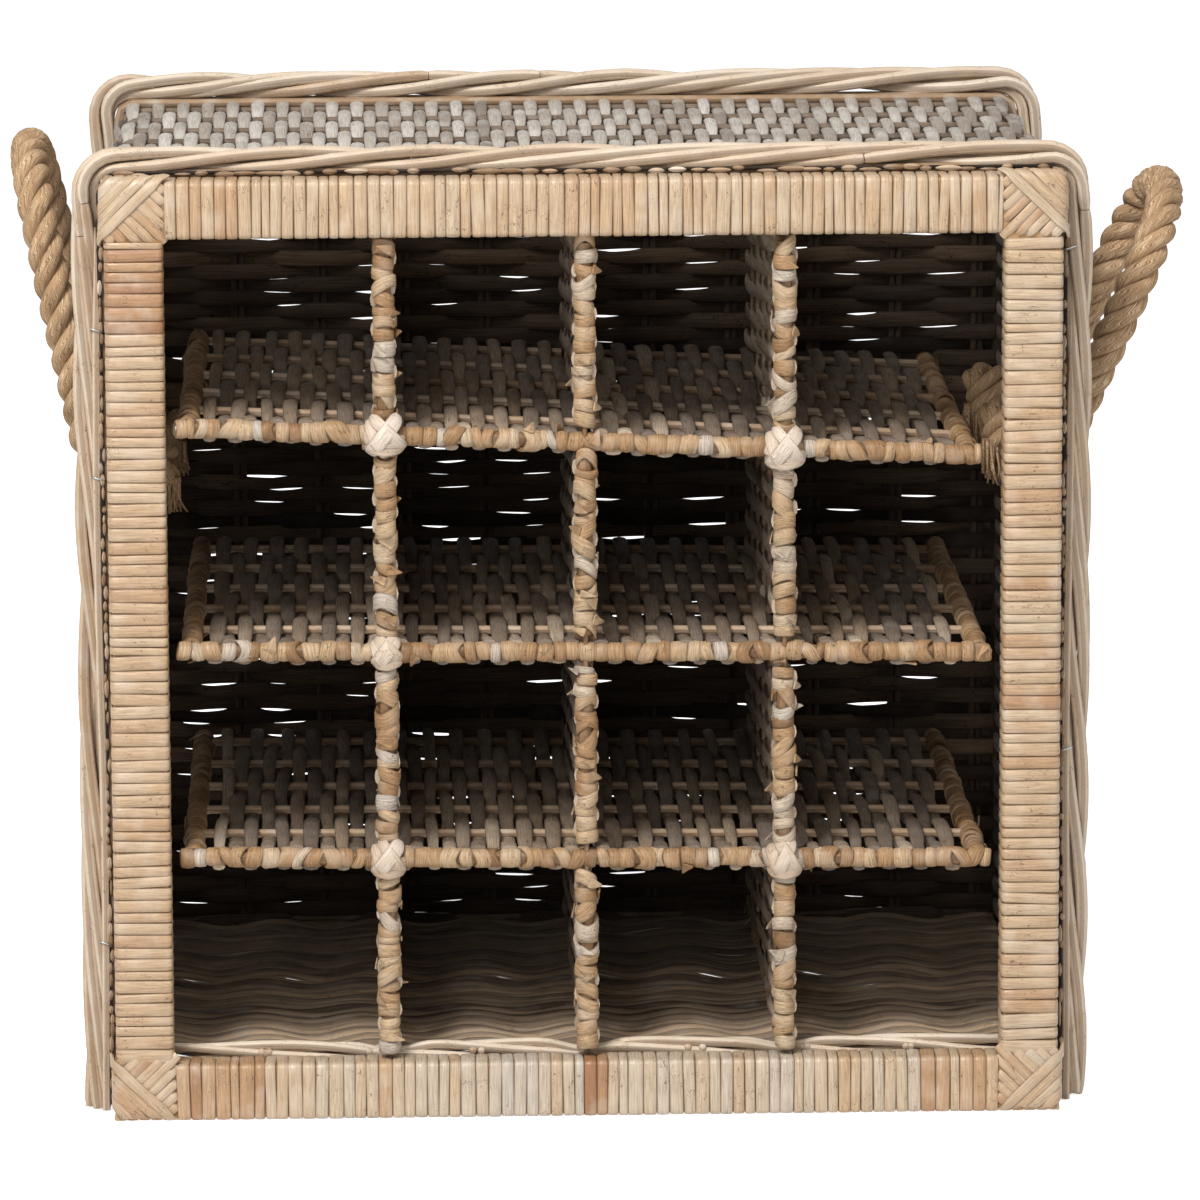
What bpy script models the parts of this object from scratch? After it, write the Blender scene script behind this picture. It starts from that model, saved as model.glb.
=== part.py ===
"""Rattan bottle basket: a woven box with a lift-out divider for sixteen bottles and two rope handles.

Metres, +Z up. The open front faces -Y. The origin is the middle of the underside of the front
frame's bottom bar, so the basket stands on the plane Z = 0.
"""
import math

import bmesh
import bpy
from mathutils import Matrix, Vector

# Front frame: four flat slats, each wrapped in binding cane, with crossed strips on the corners
FRAME_WIDTH = 0.470
FRAME_HEIGHT = 0.472
BAR_WIDTH = 0.029
BAR_DEPTH = 0.020
BAR_ROUNDING = 0.0025
WRAP_THICKNESS = 0.0012
CAP_THICKNESS = 0.0017
CAP_PROUD = 0.0012

# Woven box behind the frame
BODY_DEPTH = 0.320
PANEL_THICKNESS = 0.009
PANEL_PROUD = 0.002
PANEL_CORNER_RADIUS = 0.008
BASE_THICKNESS = 0.012
POLE_RADIUS = 0.010
POLE_FLAT = 0.0005
TWINE_DEPTH = 0.0085

# Weave that shows as relief on the outer faces of the top, the sides and the back
CROWN_HEIGHT = 0.004
CROWN_EDGE = 0.0006
SIDE_CROWN_LOWERING = 0.0002
SIDE_WEAVE_FOOT = 0.010
SIDE_WEAVE_HEAD = 0.020
SIDE_WEAVE_MARGIN = 0.0155
PEEL_PITCH = 0.0065
HOOP_PITCH = 0.0435
WEAVER_PITCH = 0.00705
STAKE_PITCH = 0.0436

# Braided rims round the front and back edges of the box
RIM_RADIUS = 0.00725
RIM_END_HEIGHT = 0.003
BACK_RIM_SETBACK = 0.008

# Divider: three shelves and three uprights that halve into each other
SHELF_HEIGHTS = (0.340, 0.2345, 0.130)
SHELF_DROPS = (0.0165, 0.004, 0.004)
SIDE_CLEARANCE = 0.0045
SHELF_SHORTENINGS = (0.006, 0, 0)
TOP_CLEARANCE = 0.0032
DIVIDER_THICKNESS = 0.008
DIVIDER_RECESS = 0.0055
EDGE_ROLL_RADIUS = 0.0065
EDGE_ROD_RADIUS = 0.0016
BIG_LASHING_RADIUS = 0.0135
MIDDLE_LASHING_RADIUS = 0.0120
SMALL_LASHING_RADIUS = 0.0105
LASHING_BACK = 0.003

# Rope handles, each with two ends that pass through a side and are knotted inside it
ROPE_RADIUS = 0.0102
HANDLE_SPAN = 0.110
HOLE_HEIGHT = 0.328
LEFT_LOOP_HEIGHT = 0.144
RIGHT_LOOP_HEIGHT = 0.128
LEFT_LEAN_DEGREES = 11.6
RIGHT_LEAN_DEGREES = 24.0
KNOT_DEPTH = 0.036
LEFT_KNOT_REACH = 0.033
LEFT_KNOT_HEIGHT = 0.046
LEFT_KNOT_DROP = 0.013
RIGHT_KNOT_REACH = 0.0308
RIGHT_KNOT_HEIGHT = 0.050
RIGHT_KNOT_DROP = 0.0
STUB_RADIUS = 0.0098

# Clearances and the overrun of every cut
GAP = 0.0003
SLIDE_GAP = 0.0004
OVERRUN = 0.003

# Places that follow from the sizes above
HALF_WIDTH = FRAME_WIDTH / 2
HALF_OPENING = HALF_WIDTH - BAR_WIDTH
FRONT_Y = -BAR_DEPTH / 2
BACK_Y = FRONT_Y + BODY_DEPTH
FRAME_BACK_Y = BAR_DEPTH / 2
PANEL_FRONT_Y = FRAME_BACK_Y + GAP
WALL_OUTER_X = HALF_WIDTH + PANEL_PROUD
WALL_INNER_X = WALL_OUTER_X - PANEL_THICKNESS
ROOF_OUTER_Z = FRAME_HEIGHT + PANEL_PROUD
ROOF_INNER_Z = ROOF_OUTER_Z - PANEL_THICKNESS
BETWEEN_WALLS_X = WALL_INNER_X - GAP
POLE_HEIGHT = 2 * POLE_RADIUS - POLE_FLAT
BASE_UNDER_Z = POLE_HEIGHT + GAP
FLOOR_Z = BASE_UNDER_Z + BASE_THICKNESS
BACK_INNER_Y = BACK_Y - PANEL_THICKNESS
CORE_INSET = WRAP_THICKNESS + GAP
DIVIDER_BOTTOM_Z = FLOOR_Z + GAP
DIVIDER_TOP_Z = FRAME_HEIGHT - BAR_WIDTH - TOP_CLEARANCE
ROLL_Y = FRONT_Y + DIVIDER_RECESS + EDGE_ROLL_RADIUS
DIVIDER_BACK_Y = BACK_INNER_Y - SLIDE_GAP
HALVING_Y = (ROLL_Y + DIVIDER_BACK_Y) / 2
SHELF_REACH = HALF_OPENING - SIDE_CLEARANCE
UPRIGHT_PITCH = HALF_OPENING / 2 - SIDE_CLEARANCE
UPRIGHT_X = (-UPRIGHT_PITCH, 0, UPRIGHT_PITCH)
HANDLE_Y = (FRONT_Y + BACK_Y) / 2
HOLE_Y = (HANDLE_Y - HANDLE_SPAN / 2, HANDLE_Y + HANDLE_SPAN / 2)
HINGE_X = WALL_OUTER_X + GAP + ROPE_RADIUS
RIM_CORNER_RADIUS = PANEL_CORNER_RADIUS + GAP + RIM_RADIUS
FRONT_RIM_Y = FRAME_BACK_Y + GAP + RIM_RADIUS

# Blender's share for a round bevel, and the number of flat sides used for round pieces
ROUND_SHARE = 0.5
POLE_SIDES = 16
ROLL_SIDES = 14
ROD_SIDES = 8
CORNER_STEPS = 6
LOOP_POINTS = 25

# The handle loop's outline, from the front hole to the top: shares of half the span and of the height
LOOP_SPAN_SHARES = (1.0, 1.03, 1.05, 0.96, 0.66, 0.0)
LOOP_HEIGHT_SHARES = (0.0, 0.28, 0.55, 0.78, 0.94, 1.0)

# Where a shelf's side roll starts inside its front roll, as a share of the roll's radius
SIDE_ROLL_START_SHARE = 0.45

# The flat length of a crown, as a share of its length at the foot. A share of 0 makes a ridge.
TOP_FLAT_SHARE = 0.5
RIDGE_SHARE = 0

for old in list(bpy.data.objects):
    bpy.data.objects.remove(old, do_unlink=True)


def new_collection(name):
    group = bpy.data.collections.new(name)
    bpy.context.scene.collection.children.link(group)
    return group


PARTS = new_collection("rattan_bottle_basket")
CUTTERS = new_collection("cutters")


def material(name, colour, roughness, metallic=0.0):
    made = bpy.data.materials.new(name)
    made.use_nodes = True
    shader = made.node_tree.nodes["Principled BSDF"]
    shader.inputs["Base Color"].default_value = (*colour, 1.0)
    shader.inputs["Roughness"].default_value = roughness
    shader.inputs["Metallic"].default_value = metallic
    return made


PEEL = material("woven_peel", (0.36, 0.30, 0.235), 0.72)
DARK_WEAVE = material("dark_weave", (0.20, 0.155, 0.115), 0.78)
CANE = material("binding_cane", (0.56, 0.42, 0.27), 0.55)
BRAID = material("rod_braid", (0.52, 0.41, 0.28), 0.62)
POLE = material("rattan_pole", (0.50, 0.36, 0.21), 0.60)
SLAT = material("slat_wood", (0.47, 0.33, 0.20), 0.70)
ROPE = material("twisted_rope", (0.50, 0.34, 0.19), 0.88)
STEEL = material("steel_wire", (0.42, 0.42, 0.43), 0.42, 1.0)


def add_mesh(name, shape, finish, group=PARTS):
    """Close a bmesh into a named object of one finish."""
    bmesh.ops.recalc_face_normals(shape, faces=shape.faces)
    mesh = bpy.data.meshes.new(name)
    shape.to_mesh(mesh)
    shape.free()
    piece = bpy.data.objects.new(name, mesh)
    group.objects.link(piece)
    if finish is not None:
        mesh.materials.append(finish)
    return piece


def box(name, low, high, finish=None, group=PARTS):
    low, high = Vector(low), Vector(high)
    shape = bmesh.new()
    bmesh.ops.create_cube(shape, size=1.0)
    bmesh.ops.scale(shape, vec=high - low, verts=shape.verts)
    bmesh.ops.translate(shape, vec=(low + high) / 2, verts=shape.verts)
    return add_mesh(name, shape, finish, group)


def rod(name, start, end, radius, sides, finish=None, group=PARTS):
    """A round bar between two points."""
    start, end = Vector(start), Vector(end)
    shape = bmesh.new()
    bmesh.ops.create_cone(shape, cap_ends=True, segments=sides, radius1=radius, radius2=radius,
                          depth=(end - start).length)
    turn = (end - start).to_track_quat("Z", "Y").to_matrix().to_4x4()
    bmesh.ops.transform(shape, matrix=Matrix.Translation((start + end) / 2) @ turn, verts=shape.verts)
    piece = add_mesh(name, shape, finish, group)
    round_off(piece)
    return piece


def ball(name, centre, half_sizes, finish=None, group=PARTS):
    shape = bmesh.new()
    bmesh.ops.create_uvsphere(shape, u_segments=16, v_segments=10, radius=1.0)
    bmesh.ops.scale(shape, vec=half_sizes, verts=shape.verts)
    bmesh.ops.translate(shape, vec=centre, verts=shape.verts)
    piece = add_mesh(name, shape, finish, group)
    round_off(piece)
    return piece


def tube(name, points, radius, finish):
    """A round tube along open points, made a mesh with its caps welded."""
    curve = bpy.data.curves.new(name, "CURVE")
    curve.dimensions = "3D"
    curve.bevel_depth = radius
    curve.bevel_resolution = 2
    curve.use_fill_caps = True
    line = curve.splines.new("POLY")
    line.points.add(len(points) - 1)
    for knot, place in zip(line.points, points):
        knot.co = (*place, 1.0)
    drawn = bpy.data.objects.new(name, curve)
    PARTS.objects.link(drawn)
    mesh = bpy.data.meshes.new_from_object(drawn.evaluated_get(bpy.context.evaluated_depsgraph_get()))
    bpy.data.objects.remove(drawn, do_unlink=True)
    shape = bmesh.new()
    shape.from_mesh(mesh)
    bmesh.ops.remove_doubles(shape, verts=shape.verts, dist=radius / 1000)
    bpy.data.meshes.remove(mesh)
    piece = add_mesh(name, shape, finish)
    round_off(piece)
    return piece


def round_off(piece):
    piece.data.shade_smooth()
    piece.data.set_sharp_from_angle(angle=math.radians(40))


def as_tool(piece):
    """Keep a piece as a hidden Boolean tool only."""
    for group in list(piece.users_collection):
        group.objects.unlink(piece)
    CUTTERS.objects.link(piece)
    piece.hide_render = True
    piece.display_type = "WIRE"
    return piece


def combine(piece, tool, operation):
    step = piece.modifiers.new(operation.lower() + "_" + tool.name, "BOOLEAN")
    step.operation = operation
    step.solver = "EXACT"
    step.object = as_tool(tool)


def cut(piece, tool):
    combine(piece, tool, "DIFFERENCE")


def join(piece, tool):
    combine(piece, tool, "UNION")


def bevel(piece, width):
    step = piece.modifiers.new("rounded_edges", "BEVEL")
    step.width = width
    step.segments = 2
    step.limit_method = "ANGLE"


def side_name(side):
    return "left" if side < 0 else "right"


def ordered(first, second):
    """The low and high corners of the box between two opposite corners."""
    low = tuple(min(pair) for pair in zip(first, second))
    high = tuple(max(pair) for pair in zip(first, second))
    return low, high


# Front frame

def frame_bar(label, low, high, core_low, core_high, along):
    """A slat and the cane wrapped round it. The slat runs on past the wrapping at both ends."""
    box("front_frame_slat_" + label, core_low, core_high, SLAT)
    wrap = box("front_frame_wrap_" + label, low, high, CANE)
    bevel(wrap, BAR_ROUNDING)
    hole_low = [low[i] + WRAP_THICKNESS for i in range(3)]
    hole_high = [high[i] - WRAP_THICKNESS for i in range(3)]
    hole_low[along] = low[along] - OVERRUN
    hole_high[along] = high[along] + OVERRUN
    cut(wrap, box("wrap_bore_" + label, hole_low, hole_high))


def front_frame():
    wrap_x = HALF_OPENING - GAP
    core_x = HALF_WIDTH + CAP_PROUD - CAP_THICKNESS - GAP
    for label, low_z in (("bottom", 0), ("top", FRAME_HEIGHT - BAR_WIDTH)):
        high_z = low_z + BAR_WIDTH
        frame_bar(label, (-wrap_x, FRONT_Y, low_z), (wrap_x, FRAME_BACK_Y, high_z),
                  (-core_x, FRONT_Y + CORE_INSET, low_z + CORE_INSET),
                  (core_x, FRAME_BACK_Y - CORE_INSET, high_z - CORE_INSET), 0)
    for side in (-1, 1):
        low, high = ordered((side * HALF_OPENING, FRONT_Y, BAR_WIDTH + GAP),
                            (side * HALF_WIDTH, FRAME_BACK_Y, FRAME_HEIGHT - BAR_WIDTH - GAP))
        inset = (CORE_INSET, CORE_INSET, -CORE_INSET)
        frame_bar(side_name(side), low, high, [low[i] + inset[i] for i in range(3)],
                  [high[i] - inset[i] for i in range(3)], 2)
        for label, edge_z, inward in (("bottom", 0, 1), ("top", FRAME_HEIGHT, -1)):
            corner_cap(label, side, edge_z, inward)


def corner_cap(label, side, edge_z, inward):
    """Crossed strips over a corner: a thin cover on the front, the outer side and the end."""
    end_z = edge_z if label == "bottom" else edge_z + CAP_PROUD
    outer = (side * (HALF_WIDTH + CAP_PROUD), FRONT_Y - (CAP_THICKNESS - WRAP_THICKNESS), end_z)
    inner = (side * HALF_OPENING, FRAME_BACK_Y, edge_z + inward * BAR_WIDTH)
    low, high = ordered(outer, inner)
    name = "front_frame_corner_" + label + "_" + side_name(side)
    cap = box(name, low, high, CANE)
    bevel(cap, CAP_PROUD)
    wall_z = WRAP_THICKNESS if label == "bottom" else CAP_THICKNESS
    hollow_outer = (outer[0] - side * CAP_THICKNESS, outer[1] + CAP_THICKNESS, end_z + inward * wall_z)
    hollow_inner = (inner[0] - side * OVERRUN, inner[1] + OVERRUN, inner[2] + inward * OVERRUN)
    low, high = ordered(hollow_outer, hollow_inner)
    cut(cap, box(name + "_hollow", low, high))


# Woven box

def round_upper_edge(panel, side):
    """Round the long top outer edge of a side panel, which the rims bend over."""
    shape = bmesh.new()
    shape.from_mesh(panel.data)
    top = max(corner.co.z for corner in shape.verts)
    outer = max(side * corner.co.x for corner in shape.verts)
    edges = [edge for edge in shape.edges
             if all(end.co.z == top and side * end.co.x == outer for end in edge.verts)]
    bmesh.ops.bevel(shape, geom=edges, offset=PANEL_CORNER_RADIUS, offset_type="OFFSET", segments=CORNER_STEPS,
                    profile=ROUND_SHARE, affect="EDGES", material=-1)
    shape.to_mesh(panel.data)
    shape.free()


def cell_edges(length, pitch):
    """Where an odd number of cells of one pitch begin and end. The two outer cells take what is left."""
    beside = round((length / pitch - 1) / 2)
    inner = [pitch * (step - 1 / 2) for step in range(1 - beside, beside + 1)]
    return [-length / 2, *inner, length / 2]


def woven_relief(across, along, strip_pitch, bar_pitch, crown_height, flat_share, border_z):
    """A closed shape with strips along local Y over bars, its crowns' feet CROWN_HEIGHT below local Z = 0.

    Each strip goes over every second bar. There its crown stands up, and its neighbours' crowns are
    one bar on. The relief's border runs straight to border_z, where a flat face closes the shape.
    """
    columns = cell_edges(across, strip_pitch)
    rows = cell_edges(along, bar_pitch)
    strips, bars = len(columns) - 1, len(rows) - 1
    shape = bmesh.new()
    bmesh.ops.create_grid(shape, x_segments=strips, y_segments=bars, size=1.0)
    crowns = []
    for face in shape.faces:
        middle = face.calc_center_median()
        strip, bar = int((middle.x + 1) / 2 * strips), int((middle.y + 1) / 2 * bars)
        if (strip + bar) % 2 == 0:
            crowns.append(face)
    for corner in shape.verts:
        strip, bar = round((corner.co.x + 1) / 2 * strips), round((corner.co.y + 1) / 2 * bars)
        corner.co = (columns[strip], rows[bar], -CROWN_HEIGHT)
    border = [edge for edge in shape.edges if edge.is_boundary]
    grown = bmesh.ops.extrude_edge_only(shape, edges=border)["geom"]
    for part in grown:
        if isinstance(part, bmesh.types.BMVert):
            part.co.z = border_z
    bmesh.ops.contextual_create(shape, geom=[part for part in grown if isinstance(part, bmesh.types.BMEdge)])
    bmesh.ops.inset_individual(shape, faces=crowns, thickness=CROWN_EDGE, depth=crown_height,
                               use_even_offset=True)
    for face in crowns:
        to_middle = Matrix.Translation(-face.calc_center_median())
        bmesh.ops.scale(shape, vec=(1, flat_share, 1), space=to_middle, verts=face.verts)
    bmesh.ops.remove_doubles(shape, verts=shape.verts, dist=CROWN_EDGE / 10)
    return shape


def placed(shape, turn, place):
    bmesh.ops.transform(shape, matrix=Matrix.Translation(place) @ turn, verts=shape.verts)
    return shape


def side_weave(side):
    """What is cut out of a side panel's outer face between its rims, so that crowns are left standing."""
    low_z, high_z = SIDE_WEAVE_FOOT, ROOF_OUTER_Z - SIDE_WEAVE_HEAD
    low_y, high_y = PANEL_FRONT_Y + SIDE_WEAVE_MARGIN, BACK_Y - SIDE_WEAVE_MARGIN
    shape = woven_relief(high_z - low_z, high_y - low_y, PEEL_PITCH, HOOP_PITCH,
                         CROWN_HEIGHT - SIDE_CROWN_LOWERING, RIDGE_SHARE, OVERRUN)
    middle = (side * WALL_OUTER_X, (low_y + high_y) / 2, (low_z + high_z) / 2)
    return placed(shape, Matrix.Rotation(side * math.pi / 2, 4, "Y"), middle)


def woven_box():
    for side in (-1, 1):
        low, high = ordered((side * WALL_INNER_X, PANEL_FRONT_Y, 0),
                            (side * WALL_OUTER_X, BACK_Y, ROOF_OUTER_Z))
        panel = box(side_name(side) + "_side_panel", low, high, PEEL)
        round_upper_edge(panel, side)
        cut(panel, add_mesh(side_name(side) + "_side_weave", side_weave(side), None))
        for number, hole_y in enumerate(HOLE_Y):
            cut(panel, rod("rope_hole_%s_%d" % (side_name(side), number),
                           (side * (WALL_INNER_X - OVERRUN), hole_y, HOLE_HEIGHT),
                           (side * (WALL_OUTER_X + OVERRUN), hole_y, HOLE_HEIGHT),
                           STUB_RADIUS + GAP, POLE_SIDES))
    top = woven_relief(2 * BETWEEN_WALLS_X, BACK_Y - PANEL_FRONT_Y, PEEL_PITCH, HOOP_PITCH, CROWN_HEIGHT,
                       TOP_FLAT_SHARE, -PANEL_THICKNESS)
    add_mesh("top_panel", placed(top, Matrix(), (0, (PANEL_FRONT_Y + BACK_Y) / 2, ROOF_OUTER_Z)), PEEL)
    back_low, back_high = FLOOR_Z + GAP, ROOF_INNER_Z - GAP
    back = woven_relief(back_high - back_low, 2 * BETWEEN_WALLS_X, WEAVER_PITCH, STAKE_PITCH, CROWN_HEIGHT,
                        RIDGE_SHARE, -PANEL_THICKNESS)
    facing_back = Matrix(((0, 1, 0, 0), (0, 0, 1, 0), (1, 0, 0, 0), (0, 0, 0, 1)))
    add_mesh("back_panel", placed(back, facing_back, (0, BACK_Y, (back_low + back_high) / 2)), DARK_WEAVE)
    twine_back_y = PANEL_FRONT_Y + TWINE_DEPTH
    box("base_panel", (-BETWEEN_WALLS_X, twine_back_y + GAP, BASE_UNDER_Z), (BETWEEN_WALLS_X, BACK_Y, FLOOR_Z),
        DARK_WEAVE)
    twine = box("floor_edge_twine", (-BETWEEN_WALLS_X, PANEL_FRONT_Y, BASE_UNDER_Z),
                (BETWEEN_WALLS_X, twine_back_y, FLOOR_Z), BRAID)
    bevel(twine, TWINE_DEPTH / 4)


def corner_poles():
    """Rattan poles inside the long corners and along the back, which carry the woven walls."""
    pole_x = BETWEEN_WALLS_X - POLE_RADIUS
    top_z = ROOF_INNER_Z - GAP - POLE_RADIUS
    bottom_z = POLE_RADIUS - POLE_FLAT
    back_top_y = BACK_INNER_Y - GAP - POLE_RADIUS
    back_bottom_y = BACK_Y - POLE_RADIUS
    cross_x = pole_x - POLE_RADIUS - GAP
    ground = box("ground_cutter", (-FRAME_WIDTH, -BODY_DEPTH, -FRAME_HEIGHT),
                 (FRAME_WIDTH, 2 * BODY_DEPTH, 0))
    for side in (-1, 1):
        rod("corner_pole_top_" + side_name(side), (side * pole_x, PANEL_FRONT_Y, top_z),
            (side * pole_x, BACK_INNER_Y - GAP, top_z), POLE_RADIUS, POLE_SIDES, POLE)
        low_pole = rod("corner_pole_bottom_" + side_name(side), (side * pole_x, PANEL_FRONT_Y, bottom_z),
                       (side * pole_x, BACK_Y, bottom_z), POLE_RADIUS, POLE_SIDES, POLE)
        cut(low_pole, ground)
    rod("back_pole_top", (-cross_x, back_top_y, top_z), (cross_x, back_top_y, top_z), POLE_RADIUS, POLE_SIDES,
        POLE)
    low_back = rod("back_pole_bottom", (-cross_x, back_bottom_y, bottom_z), (cross_x, back_bottom_y, bottom_z),
                   POLE_RADIUS, POLE_SIDES, POLE)
    cut(low_back, ground)


def rim_points(y):
    """Up the left side, across the top and down the right side, with round corners."""
    reach_x = WALL_OUTER_X + GAP + RIM_RADIUS
    reach_z = ROOF_OUTER_Z + GAP + RIM_RADIUS
    points = [(-reach_x, y, RIM_END_HEIGHT)]
    for side, first, last in ((-1, math.pi, math.pi / 2), (1, math.pi / 2, 0)):
        centre_x = side * (reach_x - RIM_CORNER_RADIUS)
        centre_z = reach_z - RIM_CORNER_RADIUS
        for step in range(CORNER_STEPS + 1):
            angle = first + (last - first) * step / CORNER_STEPS
            points.append((centre_x + RIM_CORNER_RADIUS * math.cos(angle), y,
                           centre_z + RIM_CORNER_RADIUS * math.sin(angle)))
    points.append((reach_x, y, RIM_END_HEIGHT))
    return points


def braided_rims():
    tube("front_rim_braid", rim_points(FRONT_RIM_Y), RIM_RADIUS, BRAID)
    tube("back_rim_braid", rim_points(BACK_Y - BACK_RIM_SETBACK), RIM_RADIUS, BRAID)


# Divider

def shelf_slope(number):
    """The shelf's rise per metre of X. It is negative, because the right end hangs lower."""
    return -SHELF_DROPS[number] / (2 * SHELF_REACH - SHELF_SHORTENINGS[number])


def shelf_height_at(number, x):
    return SHELF_HEIGHTS[number] + shelf_slope(number) * x


def shelf(number):
    """A woven shelf whose front and side edges are bound over a rod into a thick roll."""
    label = "shelf_%d" % (number + 1)
    left, right = -SHELF_REACH, SHELF_REACH - SHELF_SHORTENINGS[number]
    left_roll, right_roll = left + EDGE_ROLL_RADIUS, right - EDGE_ROLL_RADIUS
    half = DIVIDER_THICKNESS / 2
    tilt = Matrix.Translation((0, 0, SHELF_HEIGHTS[number])) @ Matrix.Rotation(
        -math.atan(shelf_slope(number)), 4, "Y")
    made = box(label, (left_roll, ROLL_Y, -half), (right_roll, DIVIDER_BACK_Y, half), PEEL)
    side_start = ROLL_Y + EDGE_ROLL_RADIUS * SIDE_ROLL_START_SHARE
    side_end = DIVIDER_BACK_Y - GAP
    join(made, tilted(rod(label + "_front_roll", (left, ROLL_Y, 0), (right, ROLL_Y, 0), EDGE_ROLL_RADIUS,
                          ROLL_SIDES),
                      tilt))
    for name, x in (("_left_roll", left_roll), ("_right_roll", right_roll)):
        join(made, tilted(rod(label + name, (x, side_start, 0), (x, side_end, 0), EDGE_ROLL_RADIUS, ROLL_SIDES),
                          tilt))
    cut(made, tilted(rod(label + "_rod_bore", (left - OVERRUN, ROLL_Y, 0), (right + OVERRUN, ROLL_Y, 0),
                         EDGE_ROD_RADIUS + GAP, ROD_SIDES), tilt))
    slot = half + SLIDE_GAP + half * abs(shelf_slope(number))
    tall = EDGE_ROLL_RADIUS + OVERRUN
    for place, x in enumerate(UPRIGHT_X):
        height = shelf_height_at(number, x)
        cut(made, box("%s_slot_%d" % (label, place + 1), (x - slot, HALVING_Y - SLIDE_GAP / 2, height - tall),
                      (x + slot, DIVIDER_BACK_Y + OVERRUN, height + tall)))
    tilted(made, tilt)
    tilted(rod(label + "_edge_rod", (left, ROLL_Y, 0), (right, ROLL_Y, 0), EDGE_ROD_RADIUS, ROD_SIDES, STEEL),
           tilt)


def tilted(piece, tilt):
    piece.data.transform(tilt)
    return piece


def upright(place):
    """A woven upright: a whole back half, and four bound teeth between the shelves in front."""
    label = "upright_%d" % (place + 1)
    x = UPRIGHT_X[place]
    half = DIVIDER_THICKNESS / 2
    made = box(label, (x - half, ROLL_Y, DIVIDER_BOTTOM_Z), (x + half, DIVIDER_BACK_Y, DIVIDER_TOP_Z), PEEL)
    join(made, rod(label + "_front_roll", (x, ROLL_Y, DIVIDER_BOTTOM_Z), (x, ROLL_Y, DIVIDER_TOP_Z),
                   EDGE_ROLL_RADIUS, ROLL_SIDES))
    for number in range(len(SHELF_HEIGHTS)):
        slot = EDGE_ROLL_RADIUS * (1 + abs(shelf_slope(number))) + SLIDE_GAP
        height = shelf_height_at(number, x)
        cut(made, box("%s_slot_%d" % (label, number + 1),
                      (x - EDGE_ROLL_RADIUS - OVERRUN, FRONT_Y, height - slot),
                      (x + EDGE_ROLL_RADIUS + OVERRUN, HALVING_Y + SLIDE_GAP / 2, height + slot)))


def lashing(number, place, radius):
    """A knob of split cane tied over a crossing, hollow where the two rolls pass under it."""
    label = "lashing_shelf_%d_upright_%d" % (number + 1, place + 1)
    x = UPRIGHT_X[place]
    height = shelf_height_at(number, x)
    knob = ball(label, (x, ROLL_Y, height), (radius, radius, radius), CANE)
    reach = radius + OVERRUN
    rise = shelf_slope(number) * reach
    clear = EDGE_ROLL_RADIUS + GAP
    cut(knob, rod(label + "_shelf_way", (x - reach, ROLL_Y, height - rise), (x + reach, ROLL_Y, height + rise),
                  clear, ROLL_SIDES))
    cut(knob, rod(label + "_upright_way", (x, ROLL_Y, height - reach), (x, ROLL_Y, height + reach), clear,
                  ROLL_SIDES))
    cut(knob, box(label + "_back_cut", (x - reach, ROLL_Y - LASHING_BACK, height - reach),
                  (x + reach, ROLL_Y + reach, height + reach)))


def divider():
    for number in range(len(SHELF_HEIGHTS)):
        shelf(number)
    for place in range(len(UPRIGHT_X)):
        upright(place)
    lashing(0, 0, BIG_LASHING_RADIUS)
    lashing(0, 2, BIG_LASHING_RADIUS)
    lashing(1, 0, SMALL_LASHING_RADIUS)
    lashing(2, 0, MIDDLE_LASHING_RADIUS)
    lashing(2, 2, MIDDLE_LASHING_RADIUS)


# Rope handles

def smooth_places(shares, places):
    """Read evenly spaced values from a smooth curve through the given shares."""
    last = len(shares) - 1
    padded = [2 * shares[0] - shares[1], *shares, 2 * shares[last] - shares[last - 1]]
    values = []
    for step in range(places):
        at = last * step / (places - 1)
        first = min(int(at), last - 1)
        part = at - first
        before, one, two, after = padded[first:first + 4]
        values.append((2 * one + (two - before) * part
                       + (2 * before - 5 * one + 4 * two - after) * part ** 2
                       + (3 * one - before - 3 * two + after) * part ** 3) / 2)
    return values


def handle(side, loop_height, lean_degrees):
    """A rope loop with round ends on the axis that it swings about, just outside the wall."""
    label = side_name(side) + "_rope_handle"
    lean = math.radians(lean_degrees)
    span_shares = LOOP_SPAN_SHARES + tuple(-share for share in reversed(LOOP_SPAN_SHARES[:-1]))
    height_shares = LOOP_HEIGHT_SHARES + tuple(reversed(LOOP_HEIGHT_SHARES[:-1]))
    points = []
    for span, rise in zip(smooth_places(span_shares, LOOP_POINTS), smooth_places(height_shares, LOOP_POINTS)):
        points.append((side * (HINGE_X + rise * loop_height * math.sin(lean)),
                       HANDLE_Y - span * HANDLE_SPAN / 2,
                       HOLE_HEIGHT + rise * loop_height * math.cos(lean)))
    loop = tube(label, points, ROPE_RADIUS, ROPE)
    for end, place in (("front", points[0]), ("rear", points[-1])):
        join(loop, ball("%s_%s_end" % (label, end), place, (ROPE_RADIUS, ROPE_RADIUS, ROPE_RADIUS)))
    hinge = Vector((side * HINGE_X, HANDLE_Y, HOLE_HEIGHT))
    loop.data.transform(Matrix.Translation(-hinge))
    loop.location = hinge


def knot(side, place, reach, tall, drop):
    """The stopper knot inside the wall, with the stub of rope that fills the hole."""
    label = "%s_%s_knot" % (side_name(side), ("front", "rear")[place])
    centre = (side * (WALL_INNER_X - GAP - reach / 2), HOLE_Y[place], HOLE_HEIGHT - drop)
    made = ball(label, centre, (reach / 2, KNOT_DEPTH / 2, tall / 2), ROPE)
    join(made, rod(label + "_stub", (side * (WALL_INNER_X - reach / 2), HOLE_Y[place], HOLE_HEIGHT),
                   (side * WALL_OUTER_X, HOLE_Y[place], HOLE_HEIGHT), STUB_RADIUS, POLE_SIDES))


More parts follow.
